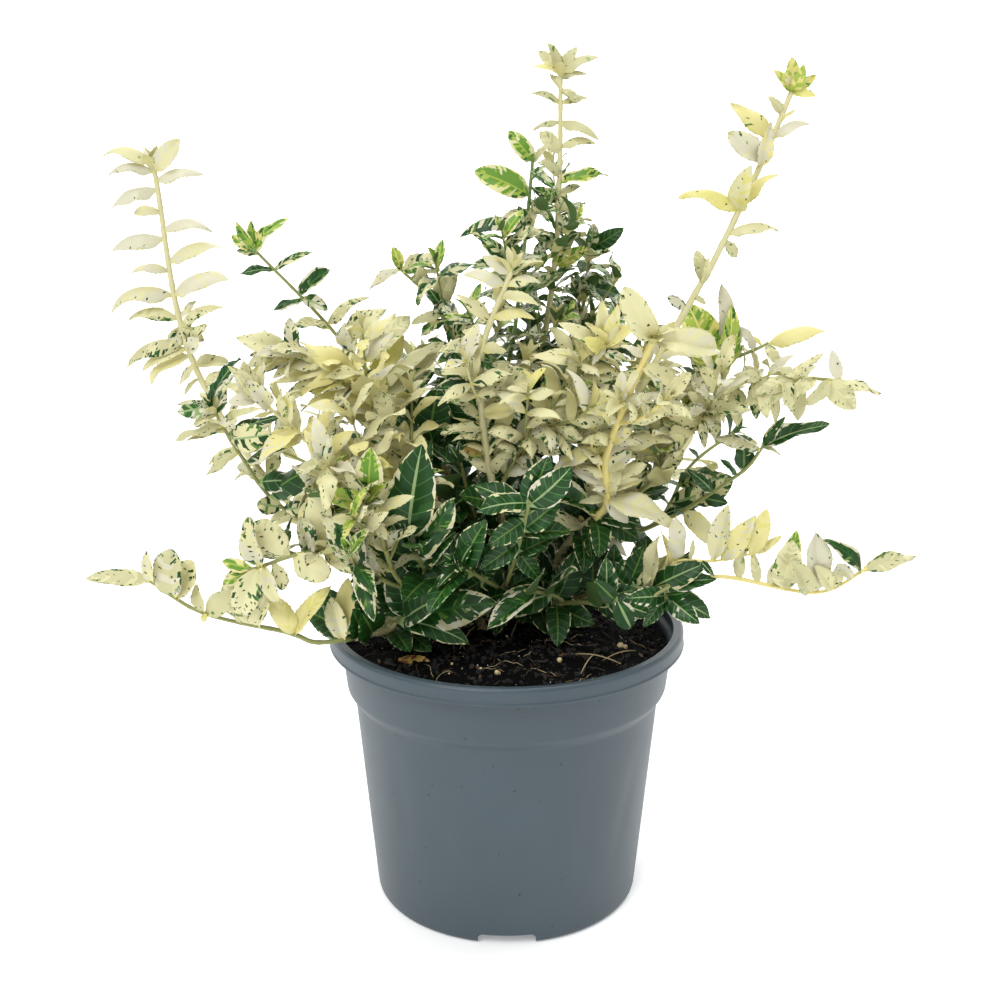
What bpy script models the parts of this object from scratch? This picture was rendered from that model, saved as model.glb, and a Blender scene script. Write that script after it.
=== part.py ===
"""Variegated wintercreeper shrub in a plastic nursery pot, as separate closed solids.

Metres, +Z up. The origin is the middle of the pot's underside, and the front of the
plant faces -Y. Positions in the tables below are millimetres from that origin.
"""
import math
import random

import bmesh
import bpy
from mathutils import Quaternion, Vector
from mathutils.bvhtree import BVHTree

MM = 0.001
GAP = 0.3 * MM

# The pot: outside radii and heights of a 17 cm, two litre nursery pot.
POT_HEIGHT = 136 * MM
RIM_RADIUS = 85 * MM
LIP_WIDTH = 5.2 * MM
LIP_HEIGHT = 8 * MM
LIP_ROUND = 1.2 * MM
COLLAR_TOP_RADIUS = 79.5 * MM
COLLAR_LOW_RADIUS = 77 * MM
COLLAR_CHAMFER_TOP = 106.5 * MM
BODY_TOP = 102 * MM
BODY_TOP_RADIUS = 73.4 * MM
FOOT_RADIUS = 64.2 * MM
FOOT_ROUND = 2 * MM
FOOT_RING_WIDTH = 7 * MM
WALL = 1.4 * MM
FLOOR_UNDERSIDE = 3.5 * MM
FLOOR_TOP = 5.6 * MM
PAD_RADIUS = 20 * MM
ROUND_STEPS = 32

# The four drainage notches in the foot ring.
NOTCH_WIDTH = 27 * MM
NOTCH_HEIGHT = 5 * MM
NOTCH_ROUND = 2.5 * MM
NOTCHES = 4

# The potting soil inside it.
SOIL_EDGE = 126 * MM
SOIL_MIDDLE = 129.5 * MM
SOIL_SHOULDER = 0.8
SOIL_SHOULDER_RADIUS = 0.6

# Woody stems: the short stem inside the clump and the boughs round it.
STEM_PLACE = (0, 28)
STEM_HEIGHT = 30 * MM
STEM_FLARE_RADIUS = 3.9 * MM
STEM_RADIUS = 3.0 * MM
STEM_LEAN = (-2, -3)
STEM_SIDES = 7
STEM_FLARE_SHARE = 0.25
BOUGH_FOOT_RADIUS = 2.0 * MM
BOUGH_TIP_RADIUS = 1.5 * MM
BOUGH_SIDES = 5
BOUGH_STATIONS = 5
BOUGH_RISE = 0.55
CURVE_STEPS = 12
HEADING_STEP = 0.03

# Foliage: stems of the leafy shoots, their side twigs and their leaves.
SHOOT_RADIUS = 1.15 * MM
SHOOT_TIP_RADIUS = 0.55 * MM
SHOOT_STATIONS = 7
FORK_OFFSET = 1.6 * MM
FORK_GAP = 0.4 * MM
TWIG_RADIUS = 0.8 * MM
TWIG_TIP_RADIUS = 0.5 * MM
TWIG_LENGTH = 34 * MM
TWIG_STATIONS = 3
TWIG_SIDES = 3
TWIG_SPREAD = math.radians(48)
TWIG_LEAF_PAIRS = 2
TWIG_LEAF_SHARE = 0.9
TWIG_TIP_SHARE = 0.15
TWIG_SPIN = 0.38
TWIGS_END = 0.75
TWIG_LIFT = 0.2
TWIG_TURNS = 6
TWIG_WOBBLE = 0.3
TWIG_REACHES = (0.85, 1.15)
TWIG_PLACES = (0.2, 0.8)
LEAF_LENGTH = 30 * MM
LEAF_WIDTH_SHARE = 0.46
LEAF_THICK_SHARE = 0.032
LEAF_WIDEST = 0.46
LEAF_ARCH = 0.12
LEAF_DROOP = 0.1
LEAF_FOLD = 0.24
LEAF_FORWARD = math.radians(26)
LEAF_FORWARD_SHARES = (0.6, 1.5)
LEAF_SIZES = (0.85, 1.08)
LEAF_TURNS = (0, 25, -25, 50, -50)
LEAF_ROLL = 0.3
PAIR_TURN = math.radians(22)
STEM_FACE = 0.9
LIGHT_SIDE = Vector((0, -0.35, 0.75))
LEVEL_LIGHT = Vector((0, -1.1, -0.3))
LEVEL_LIFT = 1.1
LEVEL_FREE = 0.45
STEEP_ACROSS = 0.25
LEAF_CLEARANCE = 0.45 * MM
FREE_SHARE = 0.25
ROOT_SINK = 0.1
TIP_SINK = 2 * MM
TIP_LEAF_SHARE = 0.5
BARE_LENGTH = 14 * MM
BARE_SHARE = 0.12
TIP_LEAF_FACE = Vector((0.1, -0.6, 0.6))
SLIVER = 0.0005 * MM

# Boughs: where each leaves the soil, and where it ends in the foliage.
BOUGHS = {
    "centre": ((4, 34), (12, 44, 222)),
    "centre_back": ((-5, 34), (-10, 42, 220)),
    "front_centre": ((1, 21), (-4, 0, 196)),
    "left_front": ((-8, 20), (-34, -2, 200)),
    "left_back": ((-11, 34), (-38, 34, 214)),
    "left": ((-18, 24), (-62, 8, 166)),
    "left_low": ((-19, 11), (-46, -26, 162)),
    "left_trailing": ((-32, 4), (-69, -35, 140.5)),
    "low_left": ((-12, 5), (-22, -10, 146)),
    "low_centre": ((-2, 11), (-2, -12, 156)),
    "low_right": ((8, 16), (26, -6, 147)),
    "right_long": ((19, 28), (44, 4, 188)),
    "right": ((12, 38), (58, 20, 190)),
    "right_middle": ((22, 43), (68, 32, 172)),
    "right_low": ((20, 16), (68, -6, 154)),
    "back_right": ((9, 46), (42, 68, 196)),
    "back": ((-2, 45), (-6, 74, 188)),
    "back_left": ((-14, 43), (-52, 58, 170)),
}

# Masses: the bough each grows from, the points its stem passes, ending at its tip, the
# bearing of its two ranks of leaves in degrees, its leaf pairs and its side twigs.
MASSES = {
    "upper_left": ("left", ((-112, 20, 196), (-150, 22, 262), (-162, 24, 349)), 0, 11, 0),
    "left_middle": ("left", ((-90, -12, 190), (-120, -25, 226), (-138, -28, 241)), 70, 6, 1),
    "left_cream": ("left_front", ((-72, -8, 258), (-108, -8, 268)), 80, 8, 2),
    "left_fore": ("left_front", ((-70, -38, 220), (-106, -55, 256)), 60, 6, 2),
    "left_green": ("left_back", ((-84, 32, 272), (-110, 30, 306)), 30, 8, 0),
    "back_left_high": ("left_back", ((-64, 66, 234), (-90, 98, 242)), 40, 5, 1),
    "bud_shoot": ("centre_back", ((-32, 52, 276), (-52, 56, 298)), 20, 6, 1),
    "centre_green": ("centre_back", ((2, 26, 262), (8, 24, 310), (10, 22, 346)), 0, 8, 2),
    "top_centre": ("centre", ((22, 48, 290), (25, 46, 340), (25, 46, 390)), 0, 10, 1),
    "centre_rear": ("centre", ((36, 62, 270), (52, 74, 300)), 120, 6, 1),
    "front_shoot": ("front_centre", ((-12, -16, 262), (-4, -22, 298)), 0, 8, 1),
    "front_middle": ("front_centre", ((18, -12, 240), (30, -14, 284)), 20, 6, 2),
    "front_right": ("right_long", ((46, -14, 224), (56, -34, 284)), 10, 8, 1),
    "upper_right": ("right_long", ((54, 0, 232), (82, 2, 292), (110, 8, 346), (126, 12, 380)),
                    0, 12, 0),
    "right_cream": ("right", ((100, 4, 246), (128, -2, 252), (156, -6, 248)), 80, 7, 1),
    "right_upper": ("right", ((92, 20, 248), (122, 14, 268)), 50, 5, 2),
    "right_dark": ("right_middle", ((104, 12, 206), (138, 6, 226)), 80, 5, 1),
    "right_rear": ("right_middle", ((94, 58, 198), (118, 74, 212)), 120, 5, 1),
    "right_trailing": ("right_low", ((100, -12, 162), (140, -16, 158), (176, -18, 168)), 80, 9, 0),
    "right_inner": ("right_low", ((74, -26, 162), (66, -44, 164)), 150, 3, 1),
    "left_trailing": ("left_trailing", ((-98, -46, 148), (-134, -52, 162), (-170, -58, 174)),
                      80, 6, 0),
    "left_bright": ("left_low", ((-80, -50, 186), (-112, -57, 180)), 70, 5, 1),
    "front_new": ("left_low", ((-56, -46, 194), (-62, -54, 222)), 10, 4, 1),
    "inner_left": ("low_left", ((-34, -24, 164), (-44, -40, 188)), 0, 4, 1),
    "inner_low_left": ("low_left", ((-38, -22, 146), (-54, -36, 148)), 60, 3, 0),
    "inner_front": ("low_centre", ((4, -30, 178), (10, -44, 208)), 20, 5, 1),
    "inner_fore": ("low_centre", ((-14, -28, 168), (-22, -44, 178)), 30, 4, 0),
    "inner_low_right": ("low_right", ((40, -20, 152), (50, -34, 158)), 150, 3, 0),
    "inner_low_front": ("low_right", ((20, -20, 156), (14, -34, 166)), 10, 3, 0),
    "back_high": ("back", ((-16, 104, 232), (-20, 128, 250)), 0, 6, 1),
    "back_low": ("back", ((8, 110, 182), (14, 146, 184)), 20, 5, 1),
    "back_right_high": ("back_right", ((62, 92, 234), (76, 114, 252)), 140, 5, 1),
    "back_right_low": ("back_right", ((80, 92, 194), (110, 110, 188)), 130, 5, 1),
    "back_left_low": ("back_left", ((-90, 76, 188), (-126, 86, 202)), 60, 6, 1),
    "back_left_rear": ("back_left", ((-64, 96, 184), (-80, 130, 194)), 40, 5, 1),
    "inner_core": ("stem", ((-14, 12, 180), (-22, 4, 214)), 30, 4, 1),
}

PALE = {"upper_left", "left_middle", "left_cream", "left_fore", "top_centre", "front_shoot",
        "front_right", "upper_right", "right_cream", "right_trailing", "left_trailing",
        "left_bright", "back_high", "back_left_low", "back_right_low"}


def clear_scene():
    for obj in list(bpy.data.objects):
        bpy.data.objects.remove(obj, do_unlink=True)


def material(name, colour, roughness, metallic=0.0):
    mat = bpy.data.materials.new(name)
    mat.use_nodes = True
    shader = mat.node_tree.nodes["Principled BSDF"]
    shader.inputs["Base Color"].default_value = (*colour, 1.0)
    shader.inputs["Roughness"].default_value = roughness
    shader.inputs["Metallic"].default_value = metallic
    return mat


def mesh_object(name, points, faces, mat):
    mesh = bpy.data.meshes.new(name)
    mesh.from_pydata([tuple(p) for p in points], [], faces)
    mesh.materials.append(mat)
    obj = bpy.data.objects.new(name, mesh)
    bpy.context.scene.collection.objects.link(obj)
    return obj


def shade_round(obj, angle=35):
    obj.data.shade_smooth()
    obj.data.set_sharp_from_angle(angle=math.radians(angle))


def turned(name, profile, mat):
    """A solid of revolution: the profile runs from the axis, round the outside, to the axis."""
    bm = bmesh.new()
    loop = [bm.verts.new((r, 0, z)) for r, z in profile]
    edges = [bm.edges.new(pair) for pair in zip(loop, loop[1:])]
    bmesh.ops.spin(bm, geom=loop + edges, cent=(0, 0, 0), axis=(0, 0, 1),
                   angle=math.tau, steps=ROUND_STEPS, use_merge=True)
    bmesh.ops.remove_doubles(bm, verts=bm.verts, dist=0.001 * MM)
    bmesh.ops.recalc_face_normals(bm, faces=bm.faces)
    mesh = bpy.data.meshes.new(name)
    bm.to_mesh(mesh)
    bm.free()
    mesh.materials.append(mat)
    obj = bpy.data.objects.new(name, mesh)
    bpy.context.scene.collection.objects.link(obj)
    return obj


def body_radius(z):
    """Outside radius of the pot's tapering body at height z."""
    return FOOT_RADIUS + (BODY_TOP_RADIUS - FOOT_RADIUS) * z / BODY_TOP


def pot(mat):
    inner_lip = RIM_RADIUS - LIP_WIDTH
    lip_foot = POT_HEIGHT - LIP_HEIGHT
    profile = [
        (0, 0), (PAD_RADIUS, 0), (PAD_RADIUS + FOOT_ROUND, FLOOR_UNDERSIDE),
        (FOOT_RADIUS - FOOT_RING_WIDTH, FLOOR_UNDERSIDE),
        (FOOT_RADIUS - FOOT_RING_WIDTH + FOOT_ROUND, 0),
        (FOOT_RADIUS - FOOT_ROUND, 0), (body_radius(FOOT_ROUND), FOOT_ROUND),
        (BODY_TOP_RADIUS, BODY_TOP), (COLLAR_LOW_RADIUS, COLLAR_CHAMFER_TOP),
        (COLLAR_TOP_RADIUS, lip_foot), (RIM_RADIUS, lip_foot + LIP_ROUND / 2),
        (RIM_RADIUS, POT_HEIGHT - LIP_ROUND), (RIM_RADIUS - LIP_ROUND, POT_HEIGHT),
        (inner_lip + LIP_ROUND / 2, POT_HEIGHT), (inner_lip, POT_HEIGHT - LIP_ROUND),
        (COLLAR_TOP_RADIUS - WALL, lip_foot), (COLLAR_LOW_RADIUS - WALL, COLLAR_CHAMFER_TOP),
        (BODY_TOP_RADIUS - WALL, BODY_TOP), (body_radius(FLOOR_TOP) - WALL, FLOOR_TOP),
        (0, FLOOR_TOP),
    ]
    obj = turned("pot", profile, mat)
    for index in range(NOTCHES):
        cutter = notch_cutter(index)
        cut = obj.modifiers.new(cutter.name, "BOOLEAN")
        cut.operation = "DIFFERENCE"
        cut.object = cutter
    shade_round(obj)
    return obj


def notch_cutter(index):
    """A round-cornered tunnel through the foot ring, open downwards."""
    half = NOTCH_WIDTH / 2
    outline = [(-half, -NOTCH_HEIGHT), (half, -NOTCH_HEIGHT)]
    for centre, start in ((half - NOTCH_ROUND, 0), (NOTCH_ROUND - half, 90)):
        for step in range(4):
            angle = math.radians(start + 30 * step)
            outline.append((centre + NOTCH_ROUND * math.cos(angle),
                            NOTCH_HEIGHT - NOTCH_ROUND + NOTCH_ROUND * math.sin(angle)))
    inner = FOOT_RADIUS - FOOT_RING_WIDTH - 2 * FOOT_ROUND
    outer = FOOT_RADIUS + FOOT_RING_WIDTH
    turn = Quaternion((0, 0, 1), math.tau * index / NOTCHES)
    points = [turn @ Vector((x, -reach, z)) for reach in (inner, outer) for x, z in outline]
    count = len(outline)
    faces = [list(range(count)), list(range(2 * count - 1, count - 1, -1))]
    for i in range(count):
        j = (i + 1) % count
        faces.append([j, i, i + count, j + count])
    bm = bmesh.new()
    corners = [bm.verts.new(p) for p in points]
    for face in faces:
        bm.faces.new([corners[i] for i in face])
    bmesh.ops.recalc_face_normals(bm, faces=bm.faces)
    mesh = bpy.data.meshes.new(f"notch_{index}")
    bm.to_mesh(mesh)
    bm.free()
    cutter = bpy.data.objects.new(f"notch_{index}", mesh)
    bpy.context.scene.collection.objects.link(cutter)
    cutter.hide_render = True
    cutter.display_type = "WIRE"
    return cutter


def soil(mat):
    rise = (COLLAR_TOP_RADIUS - COLLAR_LOW_RADIUS) / (POT_HEIGHT - LIP_HEIGHT - COLLAR_CHAMFER_TOP)
    edge_radius = COLLAR_LOW_RADIUS + rise * (SOIL_EDGE - COLLAR_CHAMFER_TOP) - WALL - GAP
    shoulder = SOIL_EDGE + SOIL_SHOULDER * (SOIL_MIDDLE - SOIL_EDGE)
    profile = [
        (0, FLOOR_TOP + GAP), (body_radius(FLOOR_TOP) - WALL - GAP, FLOOR_TOP + GAP),
        (BODY_TOP_RADIUS - WALL - GAP, BODY_TOP),
        (COLLAR_LOW_RADIUS - WALL - GAP, COLLAR_CHAMFER_TOP + GAP),
        (edge_radius, SOIL_EDGE), (edge_radius * SOIL_SHOULDER_RADIUS, shoulder), (0, SOIL_MIDDLE),
    ]
    obj = turned("soil", profile, mat)
    shade_round(obj)
    return obj


def soil_height(x, y):
    """Height of the soil's top over the point x, y (metres)."""
    distance = math.hypot(x, y)
    shoulder_radius = SOIL_SHOULDER_RADIUS * (COLLAR_TOP_RADIUS - WALL)
    drop = (1 - SOIL_SHOULDER) * (SOIL_MIDDLE - SOIL_EDGE)
    return SOIL_MIDDLE - drop * min(1.0, distance / shoulder_radius)


def smooth_path(points, stations, leaving=None):
    """Stations on a smooth curve through the points, evenly spaced in each stretch."""
    knots = [Vector(p) for p in points]
    slopes = []
    for i, knot in enumerate(knots):
        before = knots[max(i - 1, 0)]
        after = knots[min(i + 1, len(knots) - 1)]
        span = 1 if i in (0, len(knots) - 1) else 2
        slopes.append((after - before) / span)
    if leaving is not None:
        slopes[0] = leaving.normalized() * (knots[1] - knots[0]).length
    dense = [knots[0]]
    for i in range(len(knots) - 1):
        for step in range(1, CURVE_STEPS + 1):
            t = step / CURVE_STEPS
            dense.append(knots[i] * (2 * t ** 3 - 3 * t ** 2 + 1)
                         + slopes[i] * (t ** 3 - 2 * t ** 2 + t)
                         + knots[i + 1] * (3 * t ** 2 - 2 * t ** 3)
                         + slopes[i + 1] * (t ** 3 - t ** 2))
    return [point_along(dense, i / (stations - 1)) for i in range(stations)]


def point_along(path, share):
    """The point at a share of the path's length."""
    lengths = [(b - a).length for a, b in zip(path, path[1:])]
    left = share * sum(lengths)
    for i, length in enumerate(lengths):
        if left <= length:
            return path[i].lerp(path[i + 1], left / length)
        left -= length
    return path[-1].copy()


def heading_along(path, share):
    low = point_along(path, max(0.0, share - HEADING_STEP))
    return (point_along(path, min(1.0, share + HEADING_STEP)) - low).normalized()


def path_length(path):
    return sum((b - a).length for a, b in zip(path, path[1:]))


def tube(path, foot_radius, tip_radius, sides):
    """Points and faces of a closed tapering limb with flat ends."""
    side = (path[1] - path[0]).orthogonal().normalized()
    points = []
    for i, centre in enumerate(path):
        heading = (path[min(i + 1, len(path) - 1)] - path[max(i - 1, 0)]).normalized()
        side = (side - heading * side.dot(heading)).normalized()
        radius = foot_radius + (tip_radius - foot_radius) * i / (len(path) - 1)
        other = heading.cross(side)
        for k in range(sides):
            angle = math.tau * k / sides
            points.append(centre + radius * (math.cos(angle) * side + math.sin(angle) * other))
    faces = [list(range(sides))[::-1], list(range(len(points) - sides, len(points)))]
    for i in range(len(path) - 1):
        for k in range(sides):
            a = i * sides + k
            b = i * sides + (k + 1) % sides
            faces.append([a, b, b + sides, a + sides])
    return points, faces


def leaf(root, heading, face_up, length, start=0.0, spare=0.0):
    """A pointed blade of eight faces, arched along its length and folded at its midrib.

    start leaves out that share of it at the root, and spare makes it larger all round.
    """
    side = heading.cross(face_up).normalized()
    up = side.cross(heading).normalized()
    half_width = length * LEAF_WIDTH_SHARE / 2 + spare
    half_thick = length * LEAF_THICK_SHARE / 2 + spare
    middle = root + heading * length * LEAF_WIDEST + up * length * LEAF_ARCH
    edge_lift = up * half_width * LEAF_FOLD
    foot = root.lerp(middle, start / LEAF_WIDEST)
    tip = root + heading * (length + spare) - up * length * LEAF_DROOP
    points = [foot, tip, middle + side * half_width + edge_lift,
              middle - side * half_width + edge_lift, middle + up * half_thick,
              middle - up * half_thick]
    faces = [(0, 2, 4), (2, 1, 4), (1, 3, 4), (3, 0, 4),
             (2, 0, 5), (1, 2, 5), (3, 1, 5), (0, 3, 5)]
    return points, faces


class Space:
    """What is already grown, so that nothing new touches it."""

    def __init__(self):
        self.taken = []

    def add(self, owner, points, faces):
        low, high = span(points)
        self.taken.append((owner, low, high, surface(points, faces)))

    def add_object(self, obj):
        shape = obj.evaluated_get(bpy.context.evaluated_depsgraph_get())
        mesh = shape.to_mesh()
        self.add(obj.name, [v.co.copy() for v in mesh.vertices],
                 [tuple(face.vertices) for face in mesh.polygons])
        shape.to_mesh_clear()

    def free(self, points, faces, but=()):
        """True where the closed piece crosses nothing that others own."""
        low, high = span(points)
        piece = None
        for owner, its_low, its_high, its_surface in self.taken:
            if owner in but:
                continue
            if any(high[i] < its_low[i] or low[i] > its_high[i] for i in range(3)):
                continue
            piece = piece or surface(points, faces)
            if piece.overlap(its_surface):
                return False
        return True


def span(points):
    low = [min(p[i] for p in points) for i in range(3)]
    high = [max(p[i] for p in points) for i in range(3)]
    return low, high


def surface(points, faces):
    return BVHTree.FromPolygons([tuple(p) for p in points], faces)


def bough_path(foot, end):
    """A limb that leaves the soil steeply and leans over towards its end."""
    x, y = foot[0] * MM, foot[1] * MM
    start = Vector((x, y, soil_height(x, y) + GAP))
    stop = Vector(end) * MM
    crook = start + Vector((0, 0, BOUGH_RISE * (stop.z - start.z)))
    path = []
    for i in range(BOUGH_STATIONS):
        t = i / (BOUGH_STATIONS - 1)
        path.append(start * (1 - t) ** 2 + crook * 2 * t * (1 - t) + stop * t ** 2)
    return path


def flat_foot(points, sides, height):
    """The first ring of a limb, levelled to a flat cut."""
    for point in points[:sides]:
        point.z = height


def grow_boughs(mat, space):
    """The boughs, and where and how each one ends."""
    ends = {}
    for name, (foot, end) in BOUGHS.items():
        path = bough_path(foot, end)
        points, faces = tube(path, BOUGH_FOOT_RADIUS, BOUGH_TIP_RADIUS, BOUGH_SIDES)
        flat_foot(points, BOUGH_SIDES, path[0].z)
        shade_round(mesh_object(f"bough_{name}", points, faces, mat), 60)
        space.add(f"bough_{name}", points, faces)
        ends[name] = (path[-1], (path[-1] - path[-2]).normalized())
    return ends


def grow_stem(mat, space):
    """The short stem inside the clump, flared at the soil, and where it ends."""
    x, y = STEM_PLACE[0] * MM, STEM_PLACE[1] * MM
    start = Vector((x, y, soil_height(x, y) + GAP))
    top = start + Vector((STEM_LEAN[0] * MM, STEM_LEAN[1] * MM, STEM_HEIGHT))
    path = [start, start.lerp(top, STEM_FLARE_SHARE), top]
    points, faces = tube(path, STEM_RADIUS, STEM_RADIUS, STEM_SIDES)
    flat_foot(points, STEM_SIDES, start.z)
    for point in points[:STEM_SIDES]:
        point.xy = start.xy + (point.xy - start.xy) * STEM_FLARE_RADIUS / STEM_RADIUS
    shade_round(mesh_object("short_stem", points, faces, mat), 60)
    space.add("short_stem", points, faces)
    return top, (top - start).normalized()


def shoot_path(name, ends):
    """The mass's own stem, from 0.3 mm off its bough's tip to the mass's tip."""
    bough, way = MASSES[name][:2]
    end, heading = ends[bough]
    start = end + heading * FORK_GAP
    asides = {}
    for other, spec in MASSES.items():
        if spec[0] == bough:
            aside = Vector(spec[1][0]) * MM - end
            asides[other] = (aside - heading * aside.dot(heading)).normalized()
    if len(asides) > 1:
        rest = [asides[other] for other in asides if other != name]
        against = sum(rest, Vector((0, 0, 0))) / len(rest)
        start += (asides[name] - against).normalized() * FORK_OFFSET
    return smooth_path([start] + [Vector(p) * MM for p in way], SHOOT_STATIONS, heading)


class Mass:
    """One mass of foliage: its stem, side twigs and leaves, as overlapping pieces."""

    def __init__(self, name, path, space):
        self.name = name
        self.path = path
        self.space = space
        self.others_skip = (name, name + "_stem")
        self.rng = random.Random(name)
        self.pieces = [tube(path, SHOOT_RADIUS, SHOOT_TIP_RADIUS, TWIG_SIDES)]
        self.own = Space()
        self.own.add(name, *self.pieces[0])

    def add_leaf(self, root, pointing, face_up, length):
        """Adds the leaf unless it would touch a limb, another mass or a leaf of this one."""
        whole = leaf(root, pointing, face_up, length, 0, LEAF_CLEARANCE)
        outer = leaf(root, pointing, face_up, length, FREE_SHARE, LEAF_CLEARANCE)
        if not self.space.free(*whole, but=self.others_skip) or not self.own.free(*outer):
            return False
        self.pieces.append(leaf(root, pointing, face_up, length))
        self.space.add(self.name, *self.pieces[-1])
        self.own.add(self.name, *leaf(root, pointing, face_up, length, FREE_SHARE))
        return True

    def add_pairs(self, path, shares, bearing, length, radius):
        """Opposite leaves along a stem, each turned a little until it is free."""
        for share in shares:
            pair_turn = self.rng.uniform(-PAIR_TURN, PAIR_TURN)
            lift = LEAF_FORWARD * self.rng.uniform(*LEAF_FORWARD_SHARES)
            size = length * self.rng.uniform(*LEAF_SIZES)
            for side in (1, -1):
                roll = self.rng.uniform(-LEAF_ROLL, LEAF_ROLL)
                for turn in LEAF_TURNS:
                    pointing, face_up = leaf_frame(path, share, bearing, side,
                                                   math.radians(turn) + pair_turn, lift)
                    face_up += pointing.cross(face_up).normalized() * roll
                    root = point_along(path, share) - pointing * radius * ROOT_SINK
                    if self.add_leaf(root, pointing, face_up, size):
                        break

    def add_twig(self, share, index):
        """A side twig with its leaves, turned to the first side that is free."""
        start = point_along(self.path, share)
        heading = heading_along(self.path, share)
        across = heading.orthogonal().normalized()
        radii = (TWIG_RADIUS + LEAF_CLEARANCE, TWIG_TIP_RADIUS + LEAF_CLEARANCE)
        for turn in range(TWIG_TURNS):
            spin = math.tau * (turn / TWIG_TURNS + index * TWIG_SPIN)
            out = Quaternion(heading, spin + self.rng.uniform(-TWIG_WOBBLE, TWIG_WOBBLE)) @ across
            aim = heading * math.cos(TWIG_SPREAD) + out * math.sin(TWIG_SPREAD)
            reach = TWIG_LENGTH * self.rng.uniform(*TWIG_REACHES)
            end = start + aim * reach + Vector((0, 0, TWIG_LIFT * reach))
            path = smooth_path([start, start + aim * reach * 0.5, end], TWIG_STATIONS)
            free_path = [start.lerp(path[1], FREE_SHARE)] + path[1:]
            if not self.space.free(*tube(path, *radii, TWIG_SIDES), but=self.others_skip):
                continue
            if not self.own.free(*tube(free_path, *radii, TWIG_SIDES)):
                continue
            self.pieces.append(tube(path, TWIG_RADIUS, TWIG_TIP_RADIUS, TWIG_SIDES))
            self.space.add(self.name, *self.pieces[-1])
            self.own.add(self.name, *tube(free_path, TWIG_RADIUS, TWIG_TIP_RADIUS, TWIG_SIDES))
            last = TWIG_LEAF_PAIRS + TWIG_TIP_SHARE
            shares = [(i + 1) / last for i in range(TWIG_LEAF_PAIRS)]
            self.add_pairs(path, shares, self.rng.uniform(0, math.pi),
                           LEAF_LENGTH * TWIG_LEAF_SHARE, TWIG_RADIUS)
            return

    def grow(self, bearing, pairs, twigs):
        bare = max(BARE_SHARE, BARE_LENGTH / path_length(self.path))
        for i in range(twigs):
            place = (i + self.rng.uniform(*TWIG_PLACES)) / twigs
            self.add_twig(bare + (TWIGS_END - bare) * place, i)
        shares = [bare + (1 - bare) * (i + 0.5) / pairs for i in range(pairs)]
        self.add_pairs(self.path, shares, math.radians(bearing), LEAF_LENGTH, SHOOT_RADIUS)
        heading = heading_along(self.path, 1.0)
        self.add_leaf(self.path[-1] - heading * TIP_SINK, heading, TIP_LEAF_FACE,
                      LEAF_LENGTH * TIP_LEAF_SHARE)


def leaf_frame(path, share, bearing, side, turn, lift):
    """Where a leaf leaves the stem: its heading and the way its face looks.

    On a stem that lies nearly level the leaves rise off it and face the light in front.
    """
    heading = heading_along(path, share)
    level = max(0.0, 1 - abs(heading.z) - LEVEL_FREE) / (1 - LEVEL_FREE)
    across = Vector((math.cos(bearing), math.sin(bearing), 0))
    across -= heading * across.dot(heading)
    if across.length < STEEP_ACROSS:
        across = heading.cross(Vector((0, 0, 1)))
    across = Quaternion(heading, turn) @ across.normalized() * side
    across = (across + Vector((0, 0, LEVEL_LIFT * level))).normalized()
    pointing = across * math.cos(lift) + heading * math.sin(lift)
    face_up = heading * STEM_FACE * (1 - level) + LIGHT_SIDE + LEVEL_LIGHT * level
    return pointing.normalized(), face_up


def fuse(name, pieces, mat):
    """One closed solid from the overlapping pieces of a mass."""
    whole = mesh_object(name, *pieces[0], mat)
    parts = bpy.data.collections.new(name + "_parts")
    bpy.context.scene.collection.children.link(parts)
    for index, (points, faces) in enumerate(pieces[1:]):
        part = mesh_object(f"{name}_{index}", points, faces, mat)
        bpy.context.scene.collection.objects.unlink(part)
        parts.objects.link(part)
    union = whole.modifiers.new("union", "BOOLEAN")
    union.operation = "UNION"
    union.operand_type = "COLLECTION"
    union.collection = parts
    union.solver = "EXACT"
    bpy.context.view_layer.update()
    evaluated = whole.evaluated_get(bpy.context.evaluated_depsgraph_get())
    fused = bpy.data.meshes.new_from_object(evaluated)
    whole.modifiers.clear()
    whole.data = fused
    for part in list(parts.objects):
        bpy.data.objects.remove(part, do_unlink=True)
    bpy.data.collections.remove(parts)
    keep_largest_shell(fused)


def keep_largest_shell(mesh):
    """Drops loose scraps, and fills sealed hollows by dropping their skins."""
    bm = bmesh.new()
    bm.from_mesh(mesh)
    bmesh.ops.dissolve_degenerate(bm, dist=SLIVER, edges=bm.edges)
    bmesh.ops.triangulate(bm, faces=bm.faces)
    left = set(bm.faces)
    shells = []
    while left:
        shell = [left.pop()]
        for face in shell:
            for edge in face.edges:
                for other in edge.link_faces:
                    if other in left:
                        left.remove(other)
                        shell.append(other)
        shells.append(shell)
    shells.sort(key=len)
    extra = [face for shell in shells[:-1] for face in shell]
    bmesh.ops.delete(bm, geom=extra, context="FACES")
    loose = [vert for vert in bm.verts if not vert.link_faces]
    bmesh.ops.delete(bm, geom=loose, context="VERTS")
    bm.to_mesh(mesh)
    bm.free()


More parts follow.
